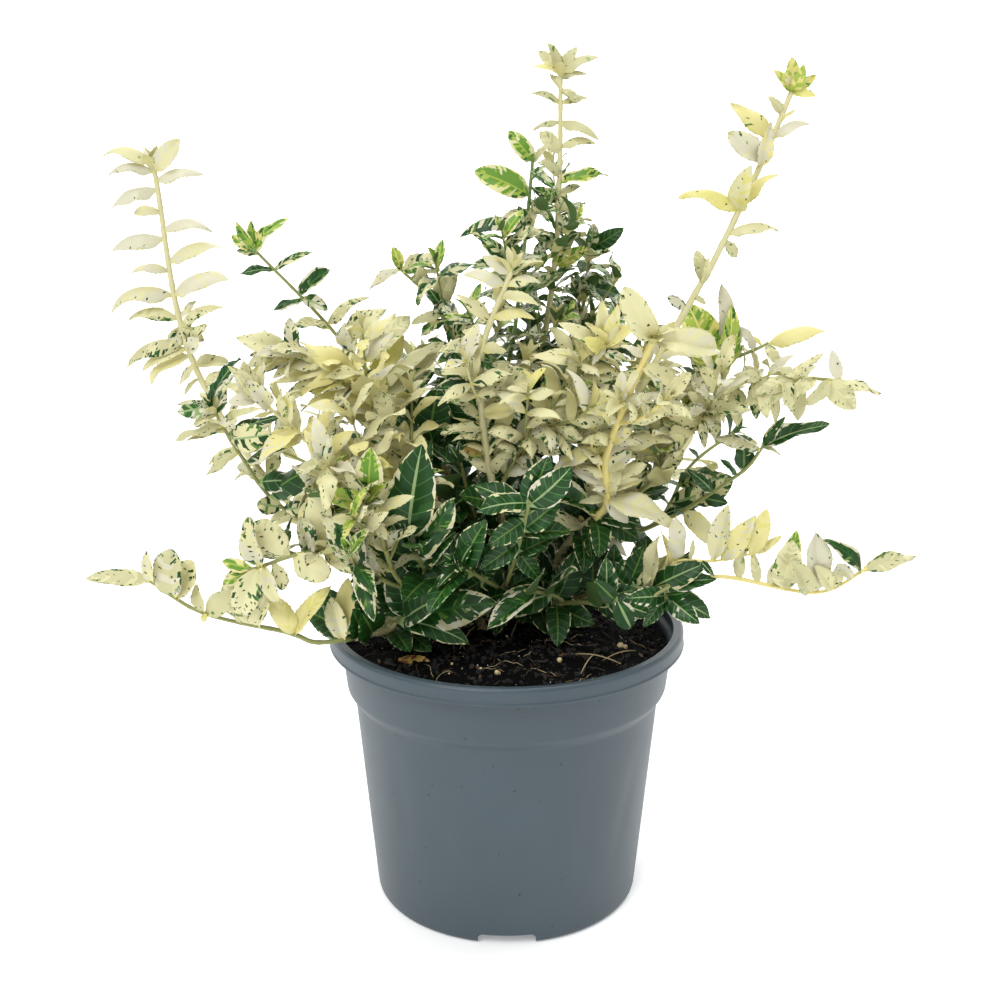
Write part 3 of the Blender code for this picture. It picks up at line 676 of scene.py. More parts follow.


# Olive tan on most boughs, and a pale tan on the two that show best: their own paler bark,
# made paler still as painted light against the shade they stand in.
young_bark = bark("young_bark", "#6B6140", "#B8AC7C")
tan_bark_painted_light = bark("tan_bark_painted_light", "#C2B47C", "#E6DEAE")
TAN_BOUGHS = ("right_long", "left_trailing")

points, faces, barks = [], [], []
bough_ends = {}
for name, (foot, end) in BOUGHS.items():
    path = bough_path(foot, end)
    bough_ends[name] = (path[-1], (path[-1] - path[-2]).normalized())
    fine_path = [path[0] - Vector((0, 0, FOOT_SUNK))] + evenly(path, BARK_STEP)
    length = path_length(fine_path)
    radius_at = bark_radius(name, length, BOUGH_FOOT_RADIUS, BOUGH_TIP_RADIUS, BOUGH_FLARE)
    add_to(points, faces, limb(fine_path, radius_at, BARK_SIDES))
    barks += [1 if name in TAN_BOUGHS else 0] * (len(faces) - len(barks))
stem_foot = Vector((STEM_PLACE[0] * MM, STEM_PLACE[1] * MM, 0))
stem_foot.z = soil_height(stem_foot.x, stem_foot.y) + GAP
stem_top = stem_foot + Vector((*STEM_LEAN, STEM_HEIGHT)) * MM
bough_ends["stem"] = (stem_top, (stem_top - stem_foot).normalized())
fine_path = evenly([stem_foot - Vector((0, 0, FOOT_SUNK)), stem_top], BARK_STEP)
radius_at = bark_radius("stem", path_length(fine_path), STEM_RADIUS, STEM_RADIUS * 0.9,
                        STEM_FLARE_RADIUS / STEM_RADIUS - 1)
add_to(points, faces, limb(fine_path, radius_at, BARK_SIDES))
barks += [0] * (len(faces) - len(barks))
bark_boughs = new_piece("bark_boughs", points, faces, [young_bark, tan_bark_painted_light], barks, 60)
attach(bark_boughs, "root")
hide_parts("short_stem", *["bough_" + name for name in BOUGHS])


# Leafy shoots grow on from the boughs' tips, as green or cream wood with a pair of leaves
# every centimetre. Each takes its bough, the points its stem passes, close to the solids' own,
# the bearing of its two ranks of leaves, and its side twigs.
SHOOT_RADIUS = 1.15 * MM
SHOOT_TIP_RADIUS = 0.75 * MM
STOUT_SHOOTS = {"upper_left": 1.65, "upper_right": 1.65, "front_right": 1.9, "front_shoot": 1.6,
                "top_centre": 1.4}
FORK_OFFSET = 1.6 * MM
FORK_GAP = 0.4 * MM
CURVE_STEPS = 12
SHOOTS = {
    "upper_left": ("left", ((-112, 20, 196), (-150, 22, 262), (-162, 24, 349)), 0, 0),
    "left_middle": ("left", ((-103, -12, 195), (-120, -22, 223), (-130, -28, 246)), 70, 1),
    "left_cream": ("left_front", ((-72, -8, 258), (-108, -8, 268)), 80, 2),
    "left_fore": ("left_front", ((-70, -38, 220), (-106, -55, 256)), 60, 2),
    "left_green": ("left_back", ((-84, 32, 272), (-118, 30, 309)), 30, 0),
    "back_left_high": ("left_back", ((-64, 66, 234), (-90, 98, 242)), 40, 1),
    "bud_shoot": ("centre_back", ((-32, 52, 276), (-52, 56, 298)), 20, 1),
    "centre_green": ("centre_back", ((2, 26, 262), (8, 24, 310), (12, 22, 353)), 0, 2),
    "top_centre": ("centre", ((22, 48, 290), (25, 46, 340), (25, 46, 390)), 0, 1),
    "centre_rear": ("centre", ((36, 62, 270), (42, 74, 306)), 120, 1),
    "front_shoot": ("front_centre", ((-12, -16, 262), (2, -22, 306)), 0, 1),
    "front_middle": ("front_centre", ((18, -12, 240), (44, -14, 271)), 20, 2),
    "front_right": ("right_long", ((46, -14, 224), (63, -34, 278)), 10, 1),
    "upper_right": ("right_long", ((54, 0, 232), (84, 2, 290), (94, 4, 308), (112, 8, 346),
                                   (126, 12, 380)),
                    0, 0),
    "right_cream": ("right", ((100, 4, 246), (128, -2, 254), (151, -6, 254)), 80, 1),
    "right_upper": ("right", ((92, 20, 248), (122, 14, 268)), 50, 2),
    "right_dark": ("right_middle", ((109, 12, 204), (121, 6, 221)), 80, 0),
    "right_rear": ("right_middle", ((94, 58, 198), (118, 74, 212)), 120, 1),
    "right_trailing": ("right_low", ((100, -12, 162), (144, -16, 155.5), (167, -18, 168)), 80, 0),
    "right_inner": ("right_low", ((74, -26, 162), (66, -44, 164)), 150, 1),
    "left_trailing": ("left_trailing", ((-86, -45, 142), (-98, -46, 147), (-134, -52, 158.5),
                                        (-156, -56, 175)),
                      80, 0),
    "left_bright": ("left_low", ((-80, -50, 186), (-112, -57, 180)), 70, 1),
    "front_new": ("left_low", ((-56, -46, 194), (-62, -54, 222)), 10, 1),
    "inner_left": ("low_left", ((-34, -24, 164), (-44, -40, 188)), 0, 1),
    "inner_low_left": ("low_left", ((-38, -22, 146), (-54, -36, 148)), 60, 0),
    "inner_front": ("low_centre", ((4, -30, 178), (10, -44, 208)), 20, 1),
    "inner_fore": ("low_centre", ((-14, -28, 168), (-22, -44, 178)), 30, 0),
    "inner_low_right": ("low_right", ((40, -20, 152), (50, -34, 158)), 150, 0),
    "inner_low_front": ("low_right", ((20, -20, 156), (8, -32, 162)), 10, 0),
    "back_high": ("back", ((-16, 104, 232), (-20, 128, 250)), 0, 1),
    "back_low": ("back", ((8, 110, 182), (14, 146, 184)), 20, 1),
    "back_right_high": ("back_right", ((62, 92, 234), (76, 114, 252)), 140, 1),
    "back_right_low": ("back_right", ((80, 92, 194), (110, 110, 188)), 130, 1),
    "back_left_low": ("back_left", ((-90, 76, 188), (-126, 86, 202)), 60, 1),
    "back_left_rear": ("back_left", ((-64, 96, 184), (-80, 130, 194)), 40, 1),
    "inner_core": ("stem", ((-14, 12, 180), (-22, 4, 214)), 30, 1),
}
# How each shoot looks: the region whose mesh it joins, its leaves at the foot, at the tip and
# in the bud, the form of its leaves, the spacing of its pairs, its leaf length and its wood.
LOOKS = {
    "upper_left": ("left", "flecked", "flecked", "ivory", "sickle", 9.5, 25, "cream"),
    "left_middle": ("left", "mottled", "flecked", "flecked", "arched", 9.5, 23, "olive"),
    "left_cream": ("left", "cream", "butter", "flecked", "arched", 5.6, 25, "olive"),
    "left_fore": ("left", "butter", "cream", "flecked", "arched", 5.6, 26, "cream"),
    "left_green": ("left", "mottled", "striped", "bright", "arched", 13, 24, "olive"),
    "back_left_high": ("back", "margined", "flecked", "cream", "arched", 11, 27, "olive"),
    "bud_shoot": ("centre", "margined", "mottled", "bright", "arched", 10.5, 25, "olive"),
    "centre_green": ("centre", "frosted", "mottled", "bright", "arched", 9.5, 23, "green"),
    "top_centre": ("centre", "frosted", "frosted", "flecked", "arched", 8, 18.5, "cream"),
    "centre_rear": ("centre", "frosted", "frosted", "mottled", "arched", 9, 22, "olive"),
    "front_shoot": ("centre", "flecked", "flecked", "cream", "sickle", 9, 22, "cream"),
    "front_middle": ("centre", "flecked", "cream", "butter", "sickle", 9, 25, "olive"),
    "front_right": ("right", "flecked", "flecked", "cream", "sickle", 9, 22, "butter"),
    "upper_right": ("right", "cream", "cream", "lime", "sickle", 11, 24, "cream"),
    "right_cream": ("right", "flecked", "ivory", "cream", "arched", 10.5, 25, "olive"),
    "right_upper": ("right", "bright", "flecked", "cream", "arched", 11, 25, "olive"),
    "right_dark": ("right", "dark", "margined", "margined", "arched", 15, 20, "olive"),
    "right_rear": ("back", "margined", "dark", "mottled", "arched", 15, 23, "olive"),
    "right_trailing": ("right", "cream", "cream", "flecked", "hooded", 11.5, 25, "butter"),
    "right_inner": ("inner", "margined", "margined", "dark", "broad", 12, 31, "olive"),
    "left_trailing": ("left", "butter", "flecked", "flecked", "hooded", 18, 28, "olive"),
    "left_bright": ("left", "striped", "flecked", "bright", "arched", 11, 27, "olive"),
    "front_new": ("left", "flecked", "flecked", "lime", "arched", 12, 20, "olive"),
    "inner_left": ("inner", "dark", "margined", "margined", "broad", 12, 32, "olive"),
    "inner_low_left": ("inner", "margined", "margined", "dark", "broad", 13, 31, "olive"),
    "inner_front": ("inner", "dark", "margined", "striped", "broad", 11, 30, "olive"),
    "inner_fore": ("inner", "margined", "dark", "margined", "broad", 12, 32, "olive"),
    "inner_low_right": ("inner", "dark", "margined", "dark", "broad", 12, 29, "olive"),
    "inner_low_front": ("inner", "margined", "striped", "striped", "broad", 12, 29, "olive"),
    "back_high": ("back", "mottled", "cream", "cream", "sickle", 11, 26, "cream"),
    "back_low": ("back", "margined", "flecked", "flecked", "arched", 11, 27, "olive"),
    "back_right_high": ("back", "mottled", "mottled", "bright", "arched", 11, 27, "olive"),
    "back_right_low": ("back", "flecked", "cream", "flecked", "arched", 11, 27, "cream"),
    "back_left_low": ("back", "mottled", "flecked", "cream", "arched", 11, 27, "olive"),
    "back_left_rear": ("back", "dark", "margined", "mottled", "arched", 11, 27, "olive"),
    "inner_core": ("inner", "dark", "margined", "margined", "broad", 12, 31, "olive"),
}


def smooth_path(points, leaving=None):
    """A smooth curve through the points, which may leave the first in a given heading."""
    knots = [Vector(p) for p in points]
    slopes = []
    for i in range(len(knots)):
        before = knots[max(i - 1, 0)]
        after = knots[min(i + 1, len(knots) - 1)]
        slopes.append((after - before) / (1 if i in (0, len(knots) - 1) else 2))
    if leaving is not None:
        slopes[0] = leaving.normalized() * (knots[1] - knots[0]).length
    path = [knots[0]]
    for i in range(len(knots) - 1):
        for step in range(1, CURVE_STEPS + 1):
            t = step / CURVE_STEPS
            path.append(knots[i] * (2 * t ** 3 - 3 * t ** 2 + 1)
                        + slopes[i] * (t ** 3 - 2 * t ** 2 + t)
                        + knots[i + 1] * (3 * t ** 2 - 2 * t ** 3)
                        + slopes[i + 1] * (t ** 3 - t ** 2))
    return path


def shoot_path(name):
    """The shoot's own stem, from just off its bough's tip to its own tip."""
    bough, way = SHOOTS[name][:2]
    end, heading = bough_ends[bough]
    start = end + heading * FORK_GAP
    asides = {}
    for other, spec in SHOOTS.items():
        if spec[0] == bough:
            aside = Vector(spec[1][0]) * MM - end
            asides[other] = (aside - heading * aside.dot(heading)).normalized()
    if len(asides) > 1:
        rest = [asides[other] for other in asides if other != name]
        against = sum(rest, Vector((0, 0, 0))) / len(rest)
        start += (asides[name] - against).normalized() * FORK_OFFSET
    return smooth_path([start] + [Vector(p) * MM for p in way], heading)


shoot_paths = {name: shoot_path(name) for name in SHOOTS}


# Evergreen leaves, 2 to 4 cm long, leathery and waxy, in opposite pairs on short stalks.
# Their blades are folded at the midrib, arched, toothed at the edge and variegated: cream
# flecked with green, green with a cream margin, or anything between. A pair is set every
# centimetre or so, each leaf turned a little until it passes through nothing grown before.
BARE_LENGTH = 13 * MM
BARE_SHARE = 0.1
LEAF_FORWARD = math.radians(26)
LEAF_FORWARD_SHARES = (-0.2, 2.0)
LEAF_SIZES = (0.74, 1.14)
LEAF_TURNS = (0, 25, -25, 50, -50, 75, -75)
LEAF_ROLL = 0.6
PAIR_TURN = math.radians(36)
MISSING_LEAVES = 0.05
TWIN_SIZES = (0.92, 1.08)
WIDTH_DRIFT = (0.88, 1.12)
WAVE_DRIFT = (0.3, 1.3)
STEM_FACE = 0.9
LIGHT_SIDE = Vector((0, -0.35, 0.75))
LEVEL_LIGHT = Vector((0, -1.1, -0.3))
LEVEL_LIFT = 1.1
LEVEL_FREE = 0.45
STEEP_ACROSS = 0.25
TWIG_LENGTH = 33 * MM
TWIG_RADIUS = 0.8 * MM
TWIG_TIP_RADIUS = 0.45 * MM
TWIG_SPREAD = math.radians(46)
TWIG_SPIN = 0.38
TWIG_TURNS = 6
TWIG_LIFT = 0.2
TWIGS_END = 0.62
TWIG_PAIRS = 8.5 * MM
TWIG_BUD_PAIRS = 2
LONG_TWIG = 20 * MM
# The size of a twig's leaves, as a share of its shoot's, on a long twig and on a short one.
LONG_TWIG_LEAVES = 0.9
SHORT_TWIG_LEAVES = 0.62
SPUR_LENGTH = 9 * MM
SPUR_EVERY = 36 * MM
SPURS_END = 0.9
SPIN_DRIFT = 0.3
LENGTH_DRIFT = (0.85, 1.15)
PLACE_DRIFT = (0.2, 0.8)
# How many more twigs a shoot has than in the solids, where that isn't one.
MORE_TWIGS = {"centre_green": 4, "centre_rear": 4, "top_centre": 3, "front_middle": 2,
              "front_right": 2, "upper_left": 0, "upper_right": 0, "left_trailing": 0,
              "right_trailing": 0, "inner_fore": 0, "inner_low_right": 0,
              "inner_low_front": 0, "inner_low_left": 0, "right_dark": 0, "left_green": 0,
              "inner_left": -1, "inner_front": -1, "right_rear": -1, "left_middle": -1,
              "right_inner": -1}
# The share of the stem that grows pairs by rule, where its last leaves are placed one by one.
PAIRS_END = {"upper_left": 0.5, "upper_right": 0.42, "top_centre": 0.6, "left_green": 0.5,
             "left_trailing": 0.0, "right_trailing": 0.05, "bud_shoot": 0.6,
             "centre_green": 0.62, "left_middle": 0.12, "right_cream": 0.7, "right_upper": 0.7,
             "right_dark": 0.4, "left_bright": 0.6, "front_shoot": 0.6, "front_right": 0.7,
             "left_fore": 0.8, "left_cream": 0.8, "right_inner": 0.3}
# Shoots with no bud by rule at the tip, and shoots with no spurs.
NO_BUDS = ("upper_right", "left_trailing", "right_trailing", "left_green", "bud_shoot",
           "centre_green", "right_cream", "right_upper", "right_dark", "left_bright",
           "front_new", "inner_low_left", "inner_left", "inner_front", "inner_low_front",
           "right_inner", "inner_low_right")
NO_SPURS = ("left_trailing", "right_trailing", "upper_right", "upper_left", "top_centre",
            "right_dark", "right_rear", "left_middle", "bud_shoot", "left_green",
            "inner_low_left", "inner_left", "inner_front", "inner_fore", "inner_low_front",
            "inner_low_right")
BUD_PAIRS = 3
BUD_LIFTS = (35, 70)
BUD_LENGTH = 4
BUD_TURNS = (0, 0.5, -0.5)
BUD_FACE = 1.4
BUD_LIGHT = 0.3
OLD_LEAF_SPACING = 8 * MM
OLD_LEAF_LENGTH = 28 * MM
BUD_SIZES = (9, 16)
# The blade: its stalk's share, its width at the root, its veins, teeth and thickness, the
# rows and columns of its mesh, and how far those drift from an even grid.
PETIOLE = 0.04
ROOT_WIDTH = 1.25 * MM
ROOT_REACH = 0.32
VEIN_SLANT = 0.16
VEINS = 7
VEIN_RELIEF = 0.16 * MM
TOOTH = 0.16 * MM
KEEL = 0.4 * MM
BULGE = 0.2
LEAF_ROW = 1.2 * MM
LEAF_SHARP = 55
VEINED = ("dark", "margined")
VEIN_WIDTH = 0.42 * MM
FAR_LEAF_ROW = 1.5 * MM
ACROSS = np.array([-1, -0.9, -0.68, -0.4, -0.07, 0.07, 0.4, 0.68, 0.9, 1])
ACROSS_SMALL = np.array([-1, -0.66, -0.12, 0.12, 0.66, 1])
SMALL_LEAF = 17 * MM
BLADE_STEPS = 24
BLADE_AIM = 0.45
WAVES = 1.6
ROW_DRIFT = 0.38
COLUMN_DRIFT = 0.06
SPECK_REACH = (0.35, 0.85)
CELL = 20 * MM
# Forms: half width as a share of length, then from and to for the bend along the blade, the
# fold at its midrib and its twist, in degrees, how far its edge waves, how much it tapers at
# the base and at the tip, and how much its face looks forward.
FORMS = {
    "narrow": (0.15, (30, 80), (-35, 45), (-30, 30), 0.3, 0.5, 0.85, 0.5),
    "sickle": (0.25, (85, 120), (-55, -35), (-15, 20), 0.1, 0.4, 0.85, 0.3),
    "arched": (0.19, (25, 75), (-30, 45), (-30, 30), 0.3, 0.5, 0.85, 0.6),
    "hooded": (0.24, (35, 90), (18, 50), (-30, 30), 0.2, 0.65, 0.75, 0.75),
    "upright": (0.2, (-10, 50), (10, 45), (-25, 25), 0.16, 0.65, 0.8, 0.8),
    "broad": (0.25, (5, 45), (5, 26), (-18, 18), 0.08, 0.6, 0.85, 0.9),
    "round": (0.34, (10, 60), (5, 25), (-20, 20), 0.12, 0.6, 0.55, 0.9),
    "young": (0.21, (5, 60), (15, 45), (-20, 20), 0.08, 0.65, 0.8, 0.75),
}
# Kinds: the ground tones, the green tones, the share of green, how much it keeps to the rim,
# how far out it reaches (1 is the edge), how much it clumps, and the tone of the midrib.
KINDS = {
    "ivory": (("ivory", "ivory", "cream"), ("bottle", "moss", "sage"), (0.0, 0.05), 1, 2, 0,
              "cream"),
    "cream": (("cream", "ivory", "butter"), ("bottle", "moss", "sage"), (0.0, 0.1), 1, 2, 0,
              "butter"),
    "butter": (("butter", "cream", "lemon"), ("bottle", "moss", "sage"), (0.0, 0.07), 1, 2, 0,
               "lemon"),
    "flecked": (("cream", "oat", "ivory"), ("bottle", "leaf", "moss"), (0.1, 0.3), 1, 2, 0,
                "cream"),
    # Oatmeal is cream leaves in painted shade: a greyer ground of oat for leaves that others shade.
    "oatmeal": (("oat", "oat", "cream"), ("moss", "leaf", "sage"), (0.03, 0.16), 1, 2, 0,
                "cream"),
    "frosted": (("ivory", "oat", "sage"), ("leaf", "moss", "bottle"), (0.3, 0.6), 0.3, 2, 0,
                "sage"),
    "mottled": (("cream", "oat", "ivory"), ("bottle", "leaf", "moss"), (0.35, 0.7), 0.2, 2, 1,
                "sage"),
    "striped": (("ivory", "oat", "cream"), ("bottle", "forest", "moss"), (0.86, 0.97), 0, 0.76, 1,
                "leaf"),
    "margined": (("ivory", "cream", "oat"), ("bottle", "bottle", "forest"), (1.0, 1.0), 0, 0.9,
                 1, "sage"),
    "dark": (("cream", "sage", "oat"), ("bottle", "bottle", "forest"), (1.0, 1.0), 0, 1.0, 1,
             "moss"),
    "bright": (("cream", "butter", "lemon"), ("grass", "lime", "leaf"), (0.65, 0.95), 0, 0.78,
               1, "lime"),
    "bud": (("lemon", "cream", "lime"), ("lime", "moss", "grass"), (0.1, 0.35), 1, 2, 1,
            "lemon"),
    "lime": (("lemon", "butter", "lime"), ("lime", "grass", "leaf"), (0.4, 0.8), 0, 1.0, 1,
             "lemon"),
    "withered": (("ochre", "lemon", "ochre"), ("moss", "brown", "leaf"), (0.2, 0.3), 1, 2, 1,
                 "lemon"),
    "dead": (("brown", "ochre", "brown"), ("brown", "ochre", "brown"), (0.3, 0.4), 0, 2, 1,
             "ochre"),
}
# Cuticle over cream or green tissue: plain tones, satin, a little duller underneath. Oat is
# partly a greyer cream of the leaves' own and partly painted shade, a shaded copy of cream;
# the underside cream is the undersides' own duller tone, darkened further as painted shade.
TONES = {
    "ivory": ("#CFCCB2", 0.45), "cream": ("#D4D0A0", 0.45), "butter": ("#D9D18E", 0.45),
    "lemon": ("#D3CD7C", 0.45), "oat": ("#C2BF92", 0.45), "bottle": ("#174012", 0.42),
    "forest": ("#22511A", 0.42), "vein": ("#44703A", 0.42),
    "leaf": ("#2C5D20", 0.42), "moss": ("#5F7F38", 0.42), "sage": ("#8FA871", 0.45),
    "grass": ("#64902F", 0.42), "lime": ("#9DB348", 0.42), "under_cream_and_shade": ("#C8C38A", 0.55),
    "under_green": ("#4E6A38", 0.55), "brown": ("#6E4130", 0.55), "ochre": ("#A98E42", 0.5),
}
TONE_NAMES = list(TONES)


def leaf_skin(name, colour, roughness):
    """Waxed leaf tissue: one plain tone with a faint pebbled gloss."""
    mat = new_material("leaf_" + name, colour, roughness, 1.4)
    grained(mat, 0.9 * MM, 0.06 * MM, 2.0)
    return mat


leaf_skins = [leaf_skin(name, *tone) for name, tone in TONES.items()]


class Leaf:
    """One leaf: its root, its frame, its size, how it is bent and its colours."""

    def __init__(self, root, pointing, face_up, length, kind, form, dice):
        share, bends, folds, twists, wave = FORMS[form][:5]
        self.base_taper, self.tip_taper = FORMS[form][5:7]
        side = face_up.cross(pointing).normalized()
        self.axes = np.array([pointing, side, pointing.cross(side)])
        self.root = np.array(root)
        self.length = length
        self.half_width = length * share * dice.uniform(*WIDTH_DRIFT)
        self.bend = math.radians(dice.uniform(*bends))
        self.fold = math.radians(dice.uniform(*folds))
        self.twist = math.radians(dice.uniform(*twists))
        self.wave = wave * self.half_width * dice.uniform(*WAVE_DRIFT)
        self.wave_phase = dice.uniform(0, math.tau)
        self.kind = kind
        self.seed = dice.randrange(10 ** 6)


def blade_outline(leaf, t):
    """Half width of the blade as a share of its widest, along the whole leaf."""
    base, tip = leaf.base_taper, leaf.tip_taper
    blade = np.clip((t - PETIOLE) / (1 - PETIOLE), 0, 1)
    widest = base / (base + tip)
    return blade ** base * (1 - blade) ** tip / (widest ** base * (1 - widest) ** tip)


def leaf_surface(leaf, along, across, toothed=False):
    """Points of the blade's upper side and its face directions, rows along, columns across."""
    fine = np.linspace(0, 1, BLADE_STEPS + 1)
    angle = leaf.bend * (BLADE_AIM - fine)
    middle = (angle[1:] + angle[:-1]) / 2
    run = np.concatenate(([0], np.cumsum(np.cos(middle)))) * leaf.length / BLADE_STEPS
    rise = np.concatenate(([0], np.cumsum(np.sin(middle)))) * leaf.length / BLADE_STEPS
    v = np.abs(across)
    t = np.clip(along + VEIN_SLANT * v * 4 * (along * (1 - along)), 0, 1)
    outline = blade_outline(leaf, t)
    root = ROOT_WIDTH * min(1, leaf.length / SMALL_LEAF) * np.clip(1 - t / ROOT_REACH, 0.04, 1)
    width = np.maximum(outline * leaf.half_width, root)
    if toothed:
        zigzag = np.where(np.arange(len(t)) % 2 == 0, TOOTH, -TOOTH)[:, None]
        width = width + zigzag * (v > 0.99) * np.clip(outline * 1.5, 0, 1)
    grown = np.clip((t - PETIOLE) * 5, 0, 1)
    fold = leaf.fold * (1 - 0.4 * t)
    veins = VEIN_RELIEF * np.cos(math.tau * VEINS * along) * v * (1 - v) * 4 * outline
    wave = leaf.wave * v * np.sin(math.tau * WAVES * t + leaf.wave_phase + np.sign(across))
    out = across * width * np.cos(fold)
    up = v * width * np.sin(fold) + BULGE * width * (v - v * v) * 4 * 0.5
    up = up + (veins + wave) * grown
    twist = leaf.twist * t
    sideways = out * np.cos(twist) - up * np.sin(twist)
    lifted = out * np.sin(twist) + up * np.cos(twist)
    turn = np.interp(t, fine, angle)
    local = np.stack([np.interp(t, fine, run) - lifted * np.sin(turn), sideways,
                      np.interp(t, fine, rise) + lifted * np.cos(turn)], axis=-1)
    return leaf.root + local @ leaf.axes, (turn, leaf.axes)


class Space:
    """What is already grown, kept in cells, so that nothing new passes through it."""

    def __init__(self):
        self.cells = {}
        self.count = 0

    def cells_of(self, low, high):
        first = np.floor(low / CELL).astype(int)
        last = np.floor(high / CELL).astype(int)
        return [(i, j, k) for i in range(first[0], last[0] + 1)
                for j in range(first[1], last[1] + 1) for k in range(first[2], last[2] + 1)]

    def add(self, points, faces):
        points = np.array(points)
        low, high = points.min(axis=0), points.max(axis=0)
        tree = BVHTree.FromPolygons(points.tolist(), faces)
        self.count += 1
        for cell in self.cells_of(low, high):
            self.cells.setdefault(cell, []).append((self.count, low, high, tree))

    def free(self, points, faces):
        points = np.array(points)
        low, high = points.min(axis=0), points.max(axis=0)
        tree = None
        seen = set()
        for cell in self.cells_of(low, high):
            for index, its_low, its_high, its_tree in self.cells.get(cell, ()):
                if index in seen:
                    continue
                seen.add(index)
                if np.any(high < its_low) or np.any(low > its_high):
                    continue
                tree = tree or BVHTree.FromPolygons(points.tolist(), faces)
                if tree.overlap(its_tree):
                    return False
        return True


# A coarse sheet stands for each blade, and a thin limb for each stem, when new growth is
# tested against what is there.
BOUGH_SPACE = 1.8 * MM
SHOOT_SPACE = 0.9 * MM
PROXY_ALONG = np.array([0.3, 0.48, 0.66, 0.84, 1.0])[:, None]
PROXY_ACROSS = np.array([-1.0, 0.0, 1.0])[None, :]
PROXY_FACES = [[3 * i + j, 3 * i + j + 3, 3 * i + j + 4, 3 * i + j + 1]
               for i in range(4) for j in range(2)]
space = Space()
for node in ("pot", "soil"):
    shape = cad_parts[node].data
    space.add([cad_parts[node].matrix_world @ v.co for v in shape.vertices],
              [list(p.vertices) for p in shape.polygons])
for name, (foot, end) in BOUGHS.items():
    space.add(*limb(evenly(bough_path(foot, end), 8 * MM), lambda share, angle: BOUGH_SPACE, 6))
for path in shoot_paths.values():
    space.add(*limb(evenly(path, 6 * MM)[1:], lambda share, angle: SHOOT_SPACE, 4))
# Where the picture's camera is, how far it looks down, its lens and its pixels at one metre.
VIEW_PLACE = Vector((-3.2, -620, 365.5)) * MM
VIEW_DOWN = math.radians(15.3)
VIEW_LENS = 49.2
VIEW_SCALE = VIEW_LENS / 36 * 1000
# Places with open sky among the shoots, as measured on the photograph with a side of
# 1000: across, down and radius. Nothing that grows by rule is let in there.
OPEN_SKY = (
    (598, 157, 9), (603, 198, 10), (622, 190, 14), (600, 216, 8), (627, 212, 9), (575, 160, 4),
    (475, 252, 7), (460, 252, 8), (455, 218, 9), (480, 205, 9), (500, 200, 7), (392, 300, 12),
    (408, 312, 8), (424, 316, 6), (380, 288, 8), (255, 492, 9), (243, 484, 7), (300, 440, 5),
    (320, 336, 8), (338, 343, 7), (305, 333, 7), (265, 401, 9), (285, 330, 9), (300, 450, 9),
    (292, 484, 9), (240, 510, 20), (215, 498, 20), (262, 525, 7), (205, 455, 8), (330, 562, 7),
    (308, 590, 8), (318, 574, 6), (215, 578, 10), (226, 600, 6), (300, 618, 5), (700, 448, 13),
    (688, 462, 7), (718, 452, 8), (748, 497, 14), (725, 515, 8), (770, 480, 16), (730, 372, 6),
    (740, 320, 9), (745, 300, 11), (770, 312, 12), (702, 292, 7), (712, 303, 5), (722, 626, 16),
    (742, 605, 12), (705, 640, 14), (755, 630, 20), (690, 645, 10), (185, 430, 6), (168, 425, 8),
    (215, 343, 9), (242, 312, 14), (262, 290, 18), (650, 285, 12), (670, 262, 14), (845, 350, 9),
    (870, 375, 9), (800, 345, 6), (850, 425, 14), (800, 440, 9), (455, 292, 4), (640, 275, 9),
    (640, 258, 17), (626, 281, 8))
open_sky = []
REGIONS = ("left", "centre", "right", "inner", "core", "back")
leaves = {region: [] for region in REGIONS}
twigs = {name: [] for name in SHOOTS}


def in_open_sky(points):
    """Whether any of the points would be seen where the picture shows open sky."""
    away = np.array(points) - np.array(VIEW_PLACE)
    depth = away @ np.array((0, math.cos(VIEW_DOWN), -math.sin(VIEW_DOWN)))
    rise = away @ np.array((0, math.sin(VIEW_DOWN), math.cos(VIEW_DOWN)))
    across = 500 + VIEW_SCALE * away[:, 0] / depth
    down = 500 - VIEW_SCALE * rise / depth
    return any(np.any((across - x) ** 2 + (down - y) ** 2 < radius ** 2)
               for x, y, radius in open_sky)


def add_leaf(region, leaf):
    """Adds the leaf to its region unless it would pass through something."""
    proxy = leaf_surface(leaf, PROXY_ALONG, PROXY_ACROSS)[0].reshape(-1, 3)
    if in_open_sky(np.concatenate([proxy, proxy[PROXY_FACES].mean(axis=1)])):
        return False
    if not space.free(proxy, PROXY_FACES):
        return False
    space.add(proxy, PROXY_FACES)
    leaves[region].append(leaf)
    return True


def leaf_frame(path, share, bearing, side, turn, lift):
    """Where a leaf leaves the stem: its heading and the way its face looks.

    On a stem that lies nearly level the leaves rise off it and face the light in front.
    """
    heading = heading_along(path, share)
    level = max(0.0, 1 - abs(heading.z) - LEVEL_FREE) / (1 - LEVEL_FREE)
    across = Vector((math.cos(bearing), math.sin(bearing), 0))
    across -= heading * across.dot(heading)
    if across.length < STEEP_ACROSS:
        across = heading.cross(Vector((0, 0, 1)))
    across = Quaternion(heading, turn) @ across.normalized() * side
    across = (across + Vector((0, 0, LEVEL_LIFT * level))).normalized()
    pointing = across * math.cos(lift) + heading * math.sin(lift)
    face_up = heading * STEM_FACE * (1 - level) + LIGHT_SIDE + LEVEL_LIGHT * level
    return pointing.normalized(), face_up


